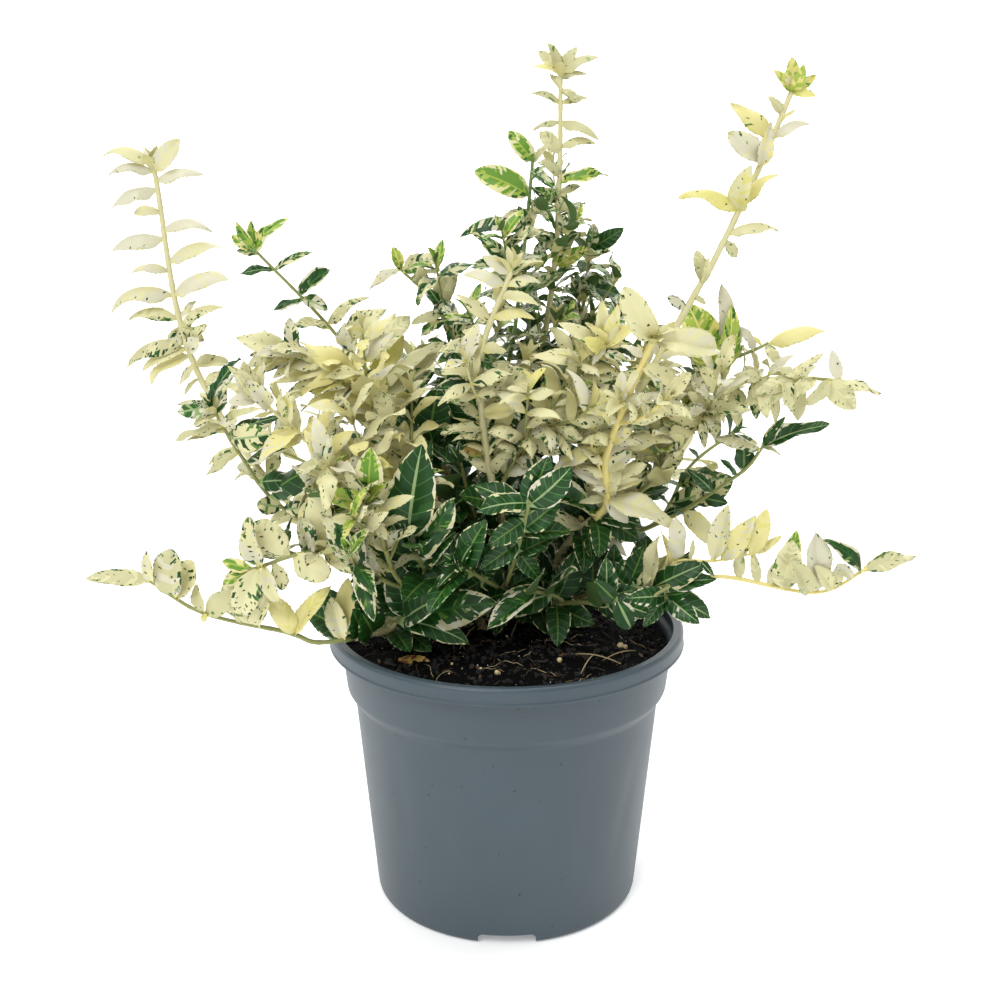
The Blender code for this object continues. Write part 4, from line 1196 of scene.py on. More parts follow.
def add_pairs(region, path, shares, bearing, length, kinds, form, dice):
    """Opposite leaves along a stem, each turned a little until it is free."""
    for share in shares:
        pair_turn = dice.uniform(-PAIR_TURN, PAIR_TURN)
        lift = LEAF_FORWARD * dice.uniform(*LEAF_FORWARD_SHARES)
        size = length * dice.uniform(*LEAF_SIZES)
        for side in (1, -1):
            roll = dice.uniform(-LEAF_ROLL, LEAF_ROLL)
            kind = kinds[1] if dice.random() < share * 1.3 - 0.15 else kinds[0]
            if dice.random() < MISSING_LEAVES:
                continue
            for turn in LEAF_TURNS:
                pointing, face_up = leaf_frame(path, share, bearing, side,
                                               math.radians(turn) + pair_turn, lift)
                face_up += pointing.cross(face_up).normalized() * roll
                leaf = Leaf(point_along(path, share), pointing, face_up,
                            size * dice.uniform(*TWIN_SIZES), kind, form, dice)
                if add_leaf(region, leaf):
                    break


def add_bud(region, path, kind, dice, pairs=BUD_PAIRS):
    """The crowded young leaves at a stem's tip, each pair crossing the one below."""
    heading = heading_along(path, 1.0)
    across = heading.orthogonal().normalized()
    for pair in range(pairs):
        share = pair / max(1, pairs - 1)
        length = (BUD_SIZES[1] + (BUD_SIZES[0] - BUD_SIZES[1]) * share) * MM
        lift = math.radians(BUD_LIFTS[0] + (BUD_LIFTS[1] - BUD_LIFTS[0]) * share)
        root = path[-1] - heading * (1 - share) * BUD_LENGTH * MM
        for side in (0, math.pi):
            for turn in BUD_TURNS:
                drift = dice.uniform(-SPIN_DRIFT, SPIN_DRIFT)
                spin = side + pair * math.pi / 2 + turn + drift
                out = Quaternion(heading, spin) @ across
                pointing = (out * math.cos(lift) + heading * math.sin(lift)).normalized()
                leaf = Leaf(root, pointing, heading * BUD_FACE + LIGHT_SIDE * BUD_LIGHT,
                            length * dice.uniform(*LENGTH_DRIFT), kind, "young", dice)
                if add_leaf(region, leaf):
                    break


def add_twig(name, path, share, index, reach, kinds, bud, dice):
    """A side twig with its leaves, turned to the first side that is free."""
    start = point_along(path, share)
    heading = heading_along(path, share)
    across = heading.orthogonal().normalized()
    for turn in range(TWIG_TURNS):
        spin = math.tau * (turn / TWIG_TURNS + index * TWIG_SPIN)
        spin += dice.uniform(-SPIN_DRIFT, SPIN_DRIFT)
        out = Quaternion(heading, spin) @ across
        aim = heading * math.cos(TWIG_SPREAD) + out * math.sin(TWIG_SPREAD)
        length = reach * dice.uniform(*LENGTH_DRIFT)
        end = start + aim * length + Vector((0, 0, TWIG_LIFT * length))
        twig = smooth_path([start, start + aim * length * 0.5, end])
        clear = limb([point_along(twig, s) for s in (0.3, 0.65, 1)],
                     lambda share, angle: TWIG_RADIUS, 3)
        if in_open_sky(twig) or not space.free(*clear):
            continue
        space.add(*clear)
        twigs[name].append(twig)
        region, form = LOOKS[name][0], LOOKS[name][4]
        count = max(1, round(length / TWIG_PAIRS - 0.7))
        shares = [(i + 0.9) / (count + 0.6) for i in range(count)]
        size = LOOKS[name][6] * MM
        size *= LONG_TWIG_LEAVES if length > LONG_TWIG else SHORT_TWIG_LEAVES
        add_pairs(region, twig, shares, dice.uniform(0, math.pi), size, kinds, form, dice)
        add_bud(region, twig, bud, dice, TWIG_BUD_PAIRS)
        return


def grow(name):
    """All the twigs and leaves of one shoot, by its own seeded rule."""
    dice = random.Random(name)
    path = shoot_paths[name]
    bearing, side_twigs = SHOOTS[name][2:]
    side_twigs += MORE_TWIGS.get(name, 1)
    region, foot_kind, tip_kind, bud_kind, form, spacing, length = LOOKS[name][:7]
    bare = max(BARE_SHARE, BARE_LENGTH / path_length(path))
    for index in range(side_twigs):
        place = (index + dice.uniform(*PLACE_DRIFT)) / side_twigs
        add_twig(name, path, bare + (TWIGS_END - bare) * place, index, TWIG_LENGTH,
                 (foot_kind, tip_kind), bud_kind, dice)
    leafy = max(0.0, PAIRS_END.get(name, 1.0) - bare)
    pairs = round(path_length(path) * leafy / (spacing * MM))
    shares = [bare + leafy * (i + 0.3) / pairs for i in range(pairs)]
    add_pairs(region, path, shares, math.radians(bearing), length * MM,
              (foot_kind, tip_kind), form, dice)
    if name not in NO_BUDS:
        add_bud(region, path, bud_kind, dice)
    spurs = 0 if name in NO_SPURS else round(path_length(path) * (1 - bare) / SPUR_EVERY)
    for index in range(spurs):
        place = (index + dice.uniform(*PLACE_DRIFT)) / spurs
        add_twig(name, path, bare + (SPURS_END - bare) * place, index + 3, SPUR_LENGTH,
                 (foot_kind, tip_kind), bud_kind, dice)


# Leaves that stand out at the front, stem by stem: across and down in the picture, first for
# the root and then for the tip, as measured on the photograph with a side of 1000, then
# the kind, and the form where it isn't the stem's usual one, which comes first. The root is
# put on the stem, in the place that is seen there, and the tip a few millimetres before or
# behind it, at the first depth where the leaf is free.
TIP_FORWARD = (-6, 2)
TIP_TRIES = (0, -4, 4, -8, 8, 0, -10)
CHORD = 0.93
FACE_SIDEWAYS = 0.25
ROOT_DROP = {"arched": 3, "narrow": 2, "sickle": -4}
FRONT_LEAVES = {
    "upper_left": ("sickle", """
    151 170 103 156 ivory, 150 170 180 139 ivory hooded, 150 173 108 175 ivory, 155 188 204 175 ivory,
    157 192 112 208 ivory, 162 217 134 213 ivory hooded, 168 237 213 232 ivory, 168 243 111 252 ivory,
    173 267 223 248 ivory, 172 275 132 273 ivory, 175 297 231 281 cream, 173 300 111 313 ivory,
    177 320 129 320 flecked, 178 333 226 308 flecked, 180 320 198 300 cream narrow,
    177 350 127 367 flecked, 180 353 143 371 cream narrow, 180 360 150 384 cream narrow,
    178 330 204 341 flecked hooded, 192 367 228 362 oatmeal hooded, 170 327 170 350 flecked hooded,
    196 385 224 372 flecked arched, 185 345 206 324 flecked arched, 195 365 179 386 cream narrow,
    200 378 184 396 oatmeal narrow, 190 352 200 338 flecked hooded"""),
    "upper_right": ("young", """
    790 92 773 70 bud, 790 92 792 57 bud, 790 92 804 64 bud, 790 92 816 75 bud, 790 92 816 96 bud,
    789 94 780 80 bud, 790 90 800 76 bud, 767 133 730 104 cream arched, 777 117 768 97 oatmeal hooded,
    777 120 796 110 cream narrow, 773 140 812 126 cream sickle, 757 162 728 133 cream hooded,
    733 200 779 174 butter sickle, 730 210 678 198 butter sickle, 727 237 779 231 cream sickle,
    725 237 736 258 oatmeal hooded, 702 280 696 250 oatmeal hooded, 733 203 752 165 butter arched,
    756 165 770 122 cream arched, 700 281 708 256 oatmeal narrow, 680 308 667 296 flecked hooded,
    690 298 706 304 oatmeal hooded"""),
    "top_centre": ("sickle", """
    565 60 601 58 oatmeal, 562 60 548 43 oatmeal young, 562 60 577 47 oatmeal young,
    560 62 538 51 oatmeal young, 562 72 530 68 cream, 563 82 588 75 oatmeal,
    563 92 549 74 cream hooded, 565 93 579 103 oatmeal hooded, 562 110 528 96 oatmeal,
    563 110 590 100 oatmeal, 558 128 533 131 oatmeal, 562 128 599 141 oatmeal,
    558 150 597 145 oatmeal, 558 153 540 131 oatmeal hooded, 560 177 608 175 bright arched,
    558 193 581 186 oatmeal hooded, 558 175 541 160 oatmeal hooded, 550 215 567 194 mottled broad,
    555 190 540 200 frosted hooded, 552 230 582 215 frosted arched, 552 262 562 246 lime arched,
    556 268 588 247 lime young, 552 245 530 232 frosted arched, 552 280 575 268 frosted arched,
    556 200 532 188 mottled broad, 552 235 536 250 mottled broad, 550 286 566 292 frosted arched"""),
    "centre_green": ("hooded", """
    536 158 509 131 bright, 529 194 474 171 bright, 526 228 458 239 mottled sickle,
    524 208 501 218 oatmeal narrow, 526 228 518 206 mottled, 528 232 537 200 oatmeal narrow,
    512 267 481 243 mottled narrow, 512 267 521 250 flecked, 514 268 533 257 frosted arched,
    512 264 496 256 flecked, 534 165 556 190 frosted arched, 534 162 552 142 oatmeal narrow,
    530 200 549 222 frosted arched, 533 180 546 166 frosted arched"""),
    "centre_rear": ("narrow", """
    586 250 624 228 dark broad, 580 284 628 299 dark arched, 590 266 613 267 mottled,
    586 244 594 223 frosted hooded, 588 252 612 251 mottled, 590 275 606 283 frosted hooded"""),
    "left_green": ("arched", """
    257 243 289 219 bright, 253 240 251 220 bright young, 251 240 236 222 bright young,
    254 245 231 236 bright young, 258 254 237 251 frosted hooded, 272 269 316 252 mottled narrow,
    272 269 237 275 margined narrow, 297 296 332 269 striped hooded, 299 299 271 311 striped narrow,
    305 297 328 310 mottled hooded, 335 323 291 326 flecked narrow, 335 320 370 297 flecked sickle,
    346 335 387 309 flecked, 371 350 410 318 oatmeal hooded, 385 365 405 335 butter,
    360 345 345 322 flecked hooded, 395 376 437 347 oatmeal narrow, 405 386 411 327 oatmeal,
    400 380 446 342 oatmeal, 410 390 432 370 frosted"""),
    "bud_shoot": ("hooded", """
    396 269 393 247 lime, 397 272 369 291 flecked narrow, 401 271 439 257 mottled,
    425 293 420 264 oatmeal, 440 302 454 263 oatmeal, 410 280 440 270 oatmeal arched,
    452 312 455 277 mottled narrow, 460 320 449 344 striped narrow, 446 311 411 324 oatmeal arched,
    432 297 446 283 oatmeal, 450 316 420 336 mottled arched, 470 330 486 302 mottled narrow"""),
    "left_middle": ("narrow", """
    207 408 177 412 frosted broad, 213 410 203 397 striped, 215 412 228 402 striped,
    215 425 175 440 oatmeal, 218 432 187 441 flecked, 220 422 262 409 oatmeal,
    225 434 280 417 margined, 228 442 272 434 mottled broad, 243 460 292 446 striped,
    230 455 206 476 flecked, 262 478 318 483 margined arched, 275 490 330 463 dark arched,
    280 508 257 503 mottled round, 284 509 311 505 mottled broad, 208 404 241 359 margined,
    233 450 262 440 frosted, 216 420 236 428 flecked hooded, 214 414 190 426 flecked"""),
    "left_cream": ("narrow", """
    360 372 300 343 butter arched, 356 374 315 384 butter arched, 290 352 236 338 butter arched,
    294 356 290 318 flecked hooded, 300 360 255 355 flecked arched, 314 366 272 378 flecked,
    340 378 300 396 butter, 372 396 308 404 butter, 275 352 246 368 flecked arched,
    325 364 285 352 butter arched, 405 440 338 410 flecked, 408 450 378 427 oatmeal,
    395 425 372 385 oatmeal arched, 380 405 345 392 butter, 318 385 262 370 flecked,
    320 390 266 386 butter, 324 396 282 405 flecked, 300 370 250 376 butter, 310 362 268 350 flecked,
    350 376 322 362 flecked"""),
    "left_fore": ("hooded", """
    266 402 241 389 butter narrow, 262 400 236 372 ivory, 258 398 228 402 ivory,
    256 398 243 359 flecked arched, 290 424 288 394 butter, 284 418 280 388 flecked narrow,
    298 432 271 434 butter, 300 436 272 445 butter, 318 446 310 416 butter arched,
    322 450 353 431 butter arched, 330 456 308 424 butter narrow, 338 464 336 440 butter,
    345 470 314 432 butter arched, 270 405 246 380 flecked, 308 440 330 410 butter arched,
    350 472 366 444 flecked narrow, 262 402 228 366 flecked narrow, 256 400 224 384 flecked narrow"""),
    "front_shoot": ("arched", """
    510 268 482 256 cream, 500 288 462 275 cream sickle, 506 290 541 283 cream sickle,
    504 294 540 306 cream, 485 314 456 295 cream, 490 320 535 319 cream sickle,
    479 344 437 355 flecked sickle, 488 350 506 352 butter hooded, 488 392 539 376 flecked hooded,
    486 394 510 362 flecked hooded, 492 412 517 408 butter hooded, 484 386 455 396 frosted narrow,
    490 390 477 406 cream narrow, 482 384 432 390 striped narrow, 496 424 440 434 flecked narrow,
    500 436 479 441 flecked hooded, 499 450 463 449 withered broad, 482 360 498 378 striped narrow,
    508 270 525 262 frosted, 481 336 462 330 flecked"""),
    "front_middle": ("arched", """
    566 338 530 357 butter narrow, 590 340 558 323 cream narrow, 560 370 592 383 bright narrow,
    556 384 586 389 oatmeal, 608 345 585 323 butter, 608 345 602 299 butter, 608 345 638 324 butter,
    606 348 592 366 cream sickle, 606 340 619 303 butter narrow, 600 350 584 338 butter hooded,
    548 400 556 421 flecked, 540 420 546 433 flecked broad, 530 440 561 454 flecked broad,
    606 352 628 362 mottled"""),
    "front_twig": ("arched", """
    586 405 555 406 ivory sickle, 588 403 609 385 ivory, 586 410 570 433 frosted,
    590 440 554 439 flecked narrow, 592 446 554 469 cream, 592 430 606 412 cream hooded,
    596 455 612 440 cream, 588 420 574 408 cream hooded"""),
    "front_right": ("arched", """
    656 342 624 287 cream hooded, 658 342 643 320 cream hooded, 656 342 719 350 cream hooded,
    648 362 619 346 cream sickle, 646 364 681 391 cream, 645 368 627 394 cream narrow,
    656 344 676 322 butter, 624 398 654 402 flecked, 617 414 648 424 ivory narrow,
    606 494 591 455 butter broad, 606 498 579 503 cream narrow, 607 492 643 480 cream narrow,
    605 498 628 523 cream broad, 606 498 677 528 ivory narrow, 606 492 623 463 cream,
    603 494 580 472 cream narrow, 612 440 634 428 cream, 611 450 590 436 cream, 609 476 646 466 cream,
    608 482 572 470 cream, 610 462 578 448 flecked, 614 430 642 444 flecked,
    610 470 632 452 flecked hooded, 622 400 600 398 cream sickle"""),
    "bough right_long": ("narrow", """
    590 530 505 529 flecked, 597 508 526 481 striped arched, 587 540 569 546 butter young,
    585 530 580 515 butter young, 570 567 534 535 striped arched, 552 592 530 537 striped,
    550 597 502 546 margined, 545 615 507 602 margined arched, 543 616 500 625 ivory,
    545 612 520 640 striped, 545 612 558 631 dark arched, 555 600 616 605 margined,
    553 602 588 621 margined arched, 585 562 616 558 cream, 597 520 643 526 margined arched,
    595 540 628 557 cream, 580 570 641 577 cream arched, 600 510 640 540 dark broad"""),
    "right_cream": ("arched", """
    838 380 881 394 flecked narrow, 837 378 832 350 ivory upright, 762 384 766 418 oatmeal,
    778 382 754 412 flecked, 826 385 856 409 oatmeal broad, 785 372 824 353 flecked narrow,
    688 418 653 401 flecked, 672 448 660 425 flecked hooded, 660 465 684 450 flecked hooded,
    645 482 675 472 oatmeal narrow, 770 375 752 398 oatmeal hooded, 790 378 772 404 oatmeal,
    810 382 796 400 oatmeal, 748 388 712 400 oatmeal, 700 415 705 448 flecked narrow,
    725 395 700 368 oatmeal hooded, 705 410 688 392 oatmeal hooded, 800 380 815 366 flecked,
    760 382 745 366 oatmeal hooded, 738 392 748 410 oatmeal, 795 384 754 394 oatmeal,
    770 380 744 408 oatmeal, 815 386 782 406 oatmeal, 795 384 798 421 oatmeal upright,
    757 388 757 419 mottled narrow, 828 384 806 404 oatmeal hooded, 772 384 775 426 oatmeal narrow,
    738 392 738 426 oatmeal narrow, 780 384 790 412 flecked, 722 398 724 424 oatmeal narrow,
    765 382 733 376 oatmeal, 800 382 775 366 oatmeal"""),
    "right_upper": ("narrow", """
    768 343 826 332 butter sickle, 752 345 734 326 ivory, 728 346 722 283 ivory,
    730 362 742 345 lime broad, 722 368 712 336 lime hooded, 716 372 687 303 lime broad,
    718 370 731 305 lime, 766 345 780 365 oatmeal hooded, 750 350 757 372 oatmeal arched,
    705 380 690 358 mottled arched, 735 356 712 350 butter arched, 760 345 748 335 butter"""),
    "right_rear": ("narrow", """
    690 486 734 478 mottled arched, 674 505 712 490 mottled broad, 705 465 688 448 margined,
    664 518 690 508 margined"""),
    "right_dark": ("narrow", """
    765 447 829 425 margined, 750 437 786 416 striped, 750 438 712 438 flecked,
    740 468 742 438 dark round, 735 471 719 458 dark, 766 447 780 455 flecked,
    690 497 733 480 mottled broad, 708 482 686 469 margined arched, 700 492 728 503 dark broad,
    682 506 721 549 cream arched"""),
    "right_trailing": ("hooded", """
    865 570 916 557 flecked narrow, 860 572 823 540 striped narrow, 850 578 836 564 flecked,
    815 585 815 531 cream upright, 828 584 814 566 cream, 828 584 841 563 cream,
    783 584 793 540 oatmeal, 808 587 791 560 oatmeal, 776 582 797 530 bright arched,
    757 578 752 550 oatmeal narrow, 739 578 741 543 oatmeal narrow, 770 582 784 556 flecked"""),
    "low_twig": ("narrow", """
    664 560 661 532 cream, 676 561 677 515 cream arched, 712 561 728 505 cream upright,
    724 560 756 515 cream arched, 752 555 767 509 butter upright, 745 557 741 530 flecked hooded,
    700 561 714 576 margined arched, 690 561 693 536 oatmeal, 757 553 782 536 butter"""),
    "left_trailing": ("round", """
    148 577 85 579 flecked narrow, 152 577 147 550 flecked narrow, 177 590 171 549 flecked,
    180 592 192 560 flecked, 207 606 196 584 oatmeal hooded, 208 606 231 594 oatmeal,
    206 606 205 622 butter, 257 622 239 566 flecked, 297 630 264 588 butter arched,
    297 630 332 586 butter narrow, 342 640 331 597 cream hooded, 344 641 348 578 butter upright,
    260 622 272 590 flecked arched, 245 618 236 596 flecked hooded"""),
    "bough left_trailing": ("upright", """
    365 642 355 612 cream hooded, 377 642 368 600 flecked, 392 640 398 598 flecked,
    402 636 410 606 striped arched, 360 634 326 588 dark broad"""),
    "left_bright": ("hooded", """
    290 558 255 521 flecked round, 293 557 329 577 flecked round, 262 566 249 517 flecked,
    252 569 222 561 bright young, 252 570 223 584 bright young, 258 569 242 614 flecked,
    265 567 278 602 cream, 310 553 300 516 flecked, 325 550 352 574 flecked arched,
    322 552 318 478 flecked arched, 272 563 285 590 flecked, 335 545 362 562 mottled arched"""),
    "front_new": ("arched", """
    356 498 371 447 bright broad, 358 498 387 481 bright, 360 500 383 502 bright young,
    366 512 415 496 butter narrow, 352 510 321 495 lime young, 360 515 330 525 cream hooded,
    358 505 345 470 flecked, 368 520 348 505 flecked hooded, 372 530 355 550 flecked,
    370 525 388 540 flecked hooded, 362 510 336 512 bright"""),
    "inner_low_left": ("broad", """
    428 612 429 528 margined, 432 615 354 579 margined, 408 624 497 602 striped arched,
    425 616 455 640 striped arched, 440 612 452 536 dark narrow, 410 620 392 560 margined,
    400 622 470 645 margined narrow"""),
    "inner_left": ("broad", """
    408 541 422 444 margined, 425 560 421 476 dark, 408 541 400 511 margined arched,
    415 550 455 498 striped arched, 430 570 470 540 dark"""),
    "inner_front": ("broad", """
    530 500 476 511 margined arched, 525 520 488 545 dark, 520 540 480 570 dark, 525 530 560 500 dark,
    515 550 540 580 dark, 525 505 548 456 dark, 530 505 572 466 margined"""),
    "inner_low_right": ("round", """
    632 583 631 628 margined, 615 590 594 580 dark broad"""),
    "bough right_low": ("broad", """
    633 583 717 579 margined arched, 673 588 710 617 margined arched, 690 580 692 552 margined narrow,
    640 580 672 552 cream narrow, 652 574 661 532 cream narrow, 640 584 666 556 oatmeal narrow,
    630 575 600 560 dark, 625 570 645 545 dark, 650 572 656 516 margined, 645 572 668 540 dark,
    672 580 698 544 mottled, 682 580 708 562 margined arched"""),
    "bough centre_back": ("broad", """
    470 425 440 378 dark, 480 440 505 398 dark, 478 410 454 352 dark, 470 460 430 430 dark,
    485 430 520 395 margined, 482 400 500 350 dark, 475 440 445 405 dark, 478 450 460 410 dark"""),
    "bough left_back": ("broad", """
    430 450 394 416 dark, 425 440 408 392 dark, 440 470 398 450 dark, 420 430 438 385 dark,
    425 435 388 436 margined, 440 460 425 420 dark"""),
    "bough centre": ("broad", """
    510 440 540 402 dark, 515 450 560 432 dark, 508 430 492 385 dark, 510 455 540 470 dark,
    512 445 530 410 margined, 520 480 556 463 dark, 515 470 560 472 dark, 530 400 497 338 margined,
    535 390 560 342 dark, 540 395 587 333 mottled, 540 400 585 380 dark, 545 405 613 372 mottled,
    535 395 525 358 dark, 530 430 580 430 dark, 530 425 568 410 dark"""),
    "bough right": ("arched", """
    590 480 620 440 flecked, 600 485 640 462 flecked, 585 475 560 440 mottled broad,
    605 490 640 495 margined broad, 580 480 550 470 dark broad, 605 500 655 468 flecked,
    600 480 650 452 flecked, 590 470 580 425 flecked"""),
}


def seen_at(across, down, y):
    """The point at this depth that is seen at this place in the picture."""
    ray = Vector(((across - 500) / VIEW_SCALE, (500 - down) / VIEW_SCALE, -1))
    ray.rotate(Euler((math.pi / 2 - VIEW_DOWN, 0, 0)))
    return VIEW_PLACE + ray * ((y - VIEW_PLACE.y) / ray.y)


def seen_on(stem, across, down):
    """The point of the stem that is seen nearest to this place in the picture."""
    def distance(point):
        return (seen_at(across, down, point.y) - point).length
    return min((point_along(stem, i / 60) for i in range(61)), key=distance)


def aim_at(leaf, tip):
    """Turns and stretches the leaf until its bent tip is at the given point."""
    for _ in range(2):
        reached = leaf_surface(leaf, np.array([[1.0]]), np.array([[0.0]]))[0][0, 0] - leaf.root
        wanted = np.array(tip) - leaf.root
        leaf.length *= np.linalg.norm(wanted) / np.linalg.norm(reached)
        turn = Vector(reached).rotation_difference(Vector(wanted))
        leaf.axes = np.array([turn @ Vector(axis) for axis in leaf.axes])


stems = dict(shoot_paths)
for name, (foot, end) in BOUGHS.items():
    stems["bough " + name] = bough_path(foot, end)
# A cream side twig in front, which the rule for twigs wouldn't place there.
fork = seen_on(stems["front_right"], 605, 484)
stems["front_twig"] = smooth_path([fork, seen_at(592, 446, fork.y - 6 * MM),
                                   seen_at(587, 403, fork.y - 8 * MM)])
twigs["front_right"].append(stems["front_twig"])
# A second twig, over the runner at the right, carries its tallest leaves.
fork = seen_on(stems["bough right_low"], 655, 570)
stems["low_twig"] = smooth_path([fork, seen_at(676, 562, fork.y - 4 * MM),
                                 seen_at(715, 561, fork.y - 7 * MM),
                                 seen_at(757, 553, fork.y - 9 * MM)])
twigs["right_trailing"].append(stems["low_twig"])
STEM_REGIONS = {"bough left_trailing": "left", "front_twig": "right", "low_twig": "right"}
for name, (usual_form, written) in FRONT_LEAVES.items():
    dice = random.Random("front leaves of " + name)
    region = STEM_REGIONS.get(name) or (LOOKS[name][0] if name in LOOKS else "inner")
    for entry in written.split(","):
        *places, kind = entry.split()[:5]
        form = (entry.split()[5:] or [usual_form])[0]
        root_across, root_down, tip_across, tip_down = [int(place) for place in places]
        root = seen_on(stems[name], root_across, root_down + ROOT_DROP.get(form, 0))
        forward = dice.uniform(*TIP_FORWARD)
        facing = FORMS[form][7]
        for more in TIP_TRIES:
            tip = seen_at(tip_across, tip_down, root.y + (forward + more) * MM)
            length = (tip - root).length / CHORD
            sideways = dice.uniform(-FACE_SIDEWAYS, FACE_SIDEWAYS)
            face_up = Vector((sideways, -facing, 1 - facing))
            leaf = Leaf(root, (tip - root).normalized(), face_up, length, kind, form, dice)
            aim_at(leaf, tip)
            if add_leaf(region, leaf):
                break
# Nothing grows across the front of the stems that show there: thin sheets from them towards
# the viewer are kept free.
CLEAR_REACH = 70 * MM
LONG_CLEAR_REACH = 110 * MM
CLEAR_START = 3
CLEAR_STEPS = 8


def keep_clear(path, start, stop, reach=CLEAR_REACH):
    """Keeps the view of a path free, between two shares of its length."""
    points = []
    for i in range(CLEAR_STEPS + 1):
        here = point_along(path, start + (stop - start) * i / CLEAR_STEPS)
        ahead = (VIEW_PLACE - here).normalized()
        points += [here + ahead * CLEAR_START * MM, here + ahead * reach]
    strips = [[2 * i, 2 * i + 2, 2 * i + 3, 2 * i + 1] for i in range(CLEAR_STEPS)]
    space.add(points, strips)


keep_clear(stems["bough right_long"], 0.04, 1.0, LONG_CLEAR_REACH)
keep_clear(shoot_paths["front_right"], 0.05, 0.8)
keep_clear(shoot_paths["front_shoot"], 0.3, 0.85)
keep_clear(shoot_paths["left_trailing"], 0.0, 0.95)
keep_clear(shoot_paths["right_trailing"], 0.3, 0.95)

# What grows by rule comes last and keeps out of the open places.
open_sky += OPEN_SKY
for name in SHOOTS:
    grow(name)
# Older dark leaves stay on the woody boughs and fill the middle of the shrub.
OLD_LEAVES_START = 0.2
OLD_LEAVES_REACH = 0.78
THIN_BOUGHS = ("right_middle", "right_low", "right")
for name, (foot, end) in BOUGHS.items():
    dice = random.Random("leaves of " + name)
    path = bough_path(foot, end)
    spacing = OLD_LEAF_SPACING * (2 if name in THIN_BOUGHS else 1)
    count = round(path_length(path) / spacing)
    shares = [OLD_LEAVES_START + OLD_LEAVES_REACH * (i + 0.5) / count for i in range(count)]
    add_pairs("core", path, shares, dice.uniform(0, math.pi), OLD_LEAF_LENGTH,
              ("dark", "dark"), "broad", dice)


# The spray of tones: how often each ground tone is the main one and how much of the blade
# that has, where the green tones follow each other, how alike the cells round an island are,
# how many vein widths a vein's row may have, how often the edge gets a duller tone as
# painted shade, how often and from where the tip is brown, and from how much green the
# underside is green.
GROUND_ODDS = (0.55, 0.27, 0.18)
MAIN_GROUND = 0.7
FIRST_GREEN = 0.62
SECOND_GREEN = 0.87
ISLAND_LIMIT = 1.6
NARROW_ROW = 1.2
EDGE_SHADE_ODDS = 0.55
BROWN_TIPS = 0.035
BROWN_FROM = 0.93
GREEN_UNDER = 0.36


def ranked(field):
    """The field's values spread evenly from 0 to 1."""
    order = field.ravel().argsort().argsort()
    return (order / max(1, order.size - 1)).reshape(field.shape)


def marbling(dice, rows, columns, clumping):
    """Even values from 0 to 1, clumped along the side veins as the variegation is."""
    field = dice.random((rows, columns))
    for _ in range(clumping):
        wide = np.pad(field, 1, mode="edge")
        field = (0.4 * field + 0.25 * (wide[1:-1, :-2] + wide[1:-1, 2:])
                 + 0.05 * (wide[:-2, 1:-1] + wide[2:, 1:-1]))
    return ranked(field)


def dealt_tones(leaf, along, across, dice):
    """The tone of each cell of the blade, which cells are islands, and the tone round those.

    An island is a cell unlike its neighbours: its tone shrinks to a speck in the middle.
    """
    grounds, greens, shares, rim, edge, clumping, rib = KINDS[leaf.kind]
    ground = [TONE_NAMES.index(tone) for tone in grounds]
    green = [TONE_NAMES.index(tone) for tone in greens]
    main, second = dice.choice(ground, 2, p=GROUND_ODDS)
    rows, columns = len(along) - 1, len(across) - 1
    out = np.abs(across[1:] + across[:-1])[None, :] / 2
    middle = (along[1:] + along[:-1])[:, None] / 2
    pale = np.where(marbling(dice, rows, columns, 4) < MAIN_GROUND, main, second)
    shade = marbling(dice, rows, columns, 4)
    deep = np.where(shade < SECOND_GREEN, green[1], green[2])
    deep = np.where(shade < FIRST_GREEN, green[0], deep)
    share = dice.uniform(*shares)
    far = np.maximum(out, 10 * (middle - 0.9))
    ragged = far + 0.3 * (marbling(dice, rows, columns, 1) - 0.5)
    wanted = share * (1 + rim * 1.8 * (np.clip(far, 0, 1) - 0.55))
    marked = (marbling(dice, rows, columns, clumping) > 1 - wanted) & (ragged < edge)
    marked &= middle > PETIOLE
    tones = np.where(marked, deep, pale)
    around = np.where(marked, pale, deep)
    same = np.zeros((rows, columns))
    same[1:] += marked[1:] == marked[:-1]
    same[:-1] += marked[1:] == marked[:-1]
    same[:, 1:] += marked[:, 1:] == marked[:, :-1]
    same[:, :-1] += marked[:, 1:] == marked[:, :-1]
    islands = same + dice.random((rows, columns)) < ISLAND_LIMIT
    narrow = np.diff(along) < NARROW_ROW * VEIN_WIDTH / leaf.length
    if leaf.kind in VEINED and narrow.any():
        veins = narrow[:, None] & marked & (out < 0.8)
        tones = np.where(veins, TONE_NAMES.index("vein"), tones)
        islands[:] = False
    stalk = middle[:, 0] < PETIOLE
    if share > 0.3:
        tones[:, columns // 2] = TONE_NAMES.index(rib)
        islands[:, columns // 2] = False
    tones[stalk] = TONE_NAMES.index("lemon" if share < 0.5 else "sage")
    islands[stalk] = False
    # Edge cells of pale leaves are dealt a duller, darker tone here and there: painted shade.
    if share < 0.4:
        edges = np.abs(out[0]) > 0.9
        dull = (dice.random((rows, columns)) < EDGE_SHADE_ODDS) & edges[None, :] & ~marked
        edge_shade_tone = "oat" if leaf.kind == "ivory" else "under_cream_and_shade"
        tones = np.where(dull, TONE_NAMES.index(edge_shade_tone), tones)
    if dice.random() < BROWN_TIPS:
        tip = middle[:, 0] > BROWN_FROM
        tones[tip] = TONE_NAMES.index("brown")
        islands[tip] = False
    dry = leaf.kind in ("withered", "dead")
    pale_under = TONE_NAMES.index("ochre" if dry else "under_cream_and_shade")
    greenness = np.convolve(marked.mean(axis=1), np.ones(7) / 7, "same")
    under = np.where(greenness > GREEN_UNDER, TONE_NAMES.index("under_green"), pale_under)
    return tones, islands, around, under


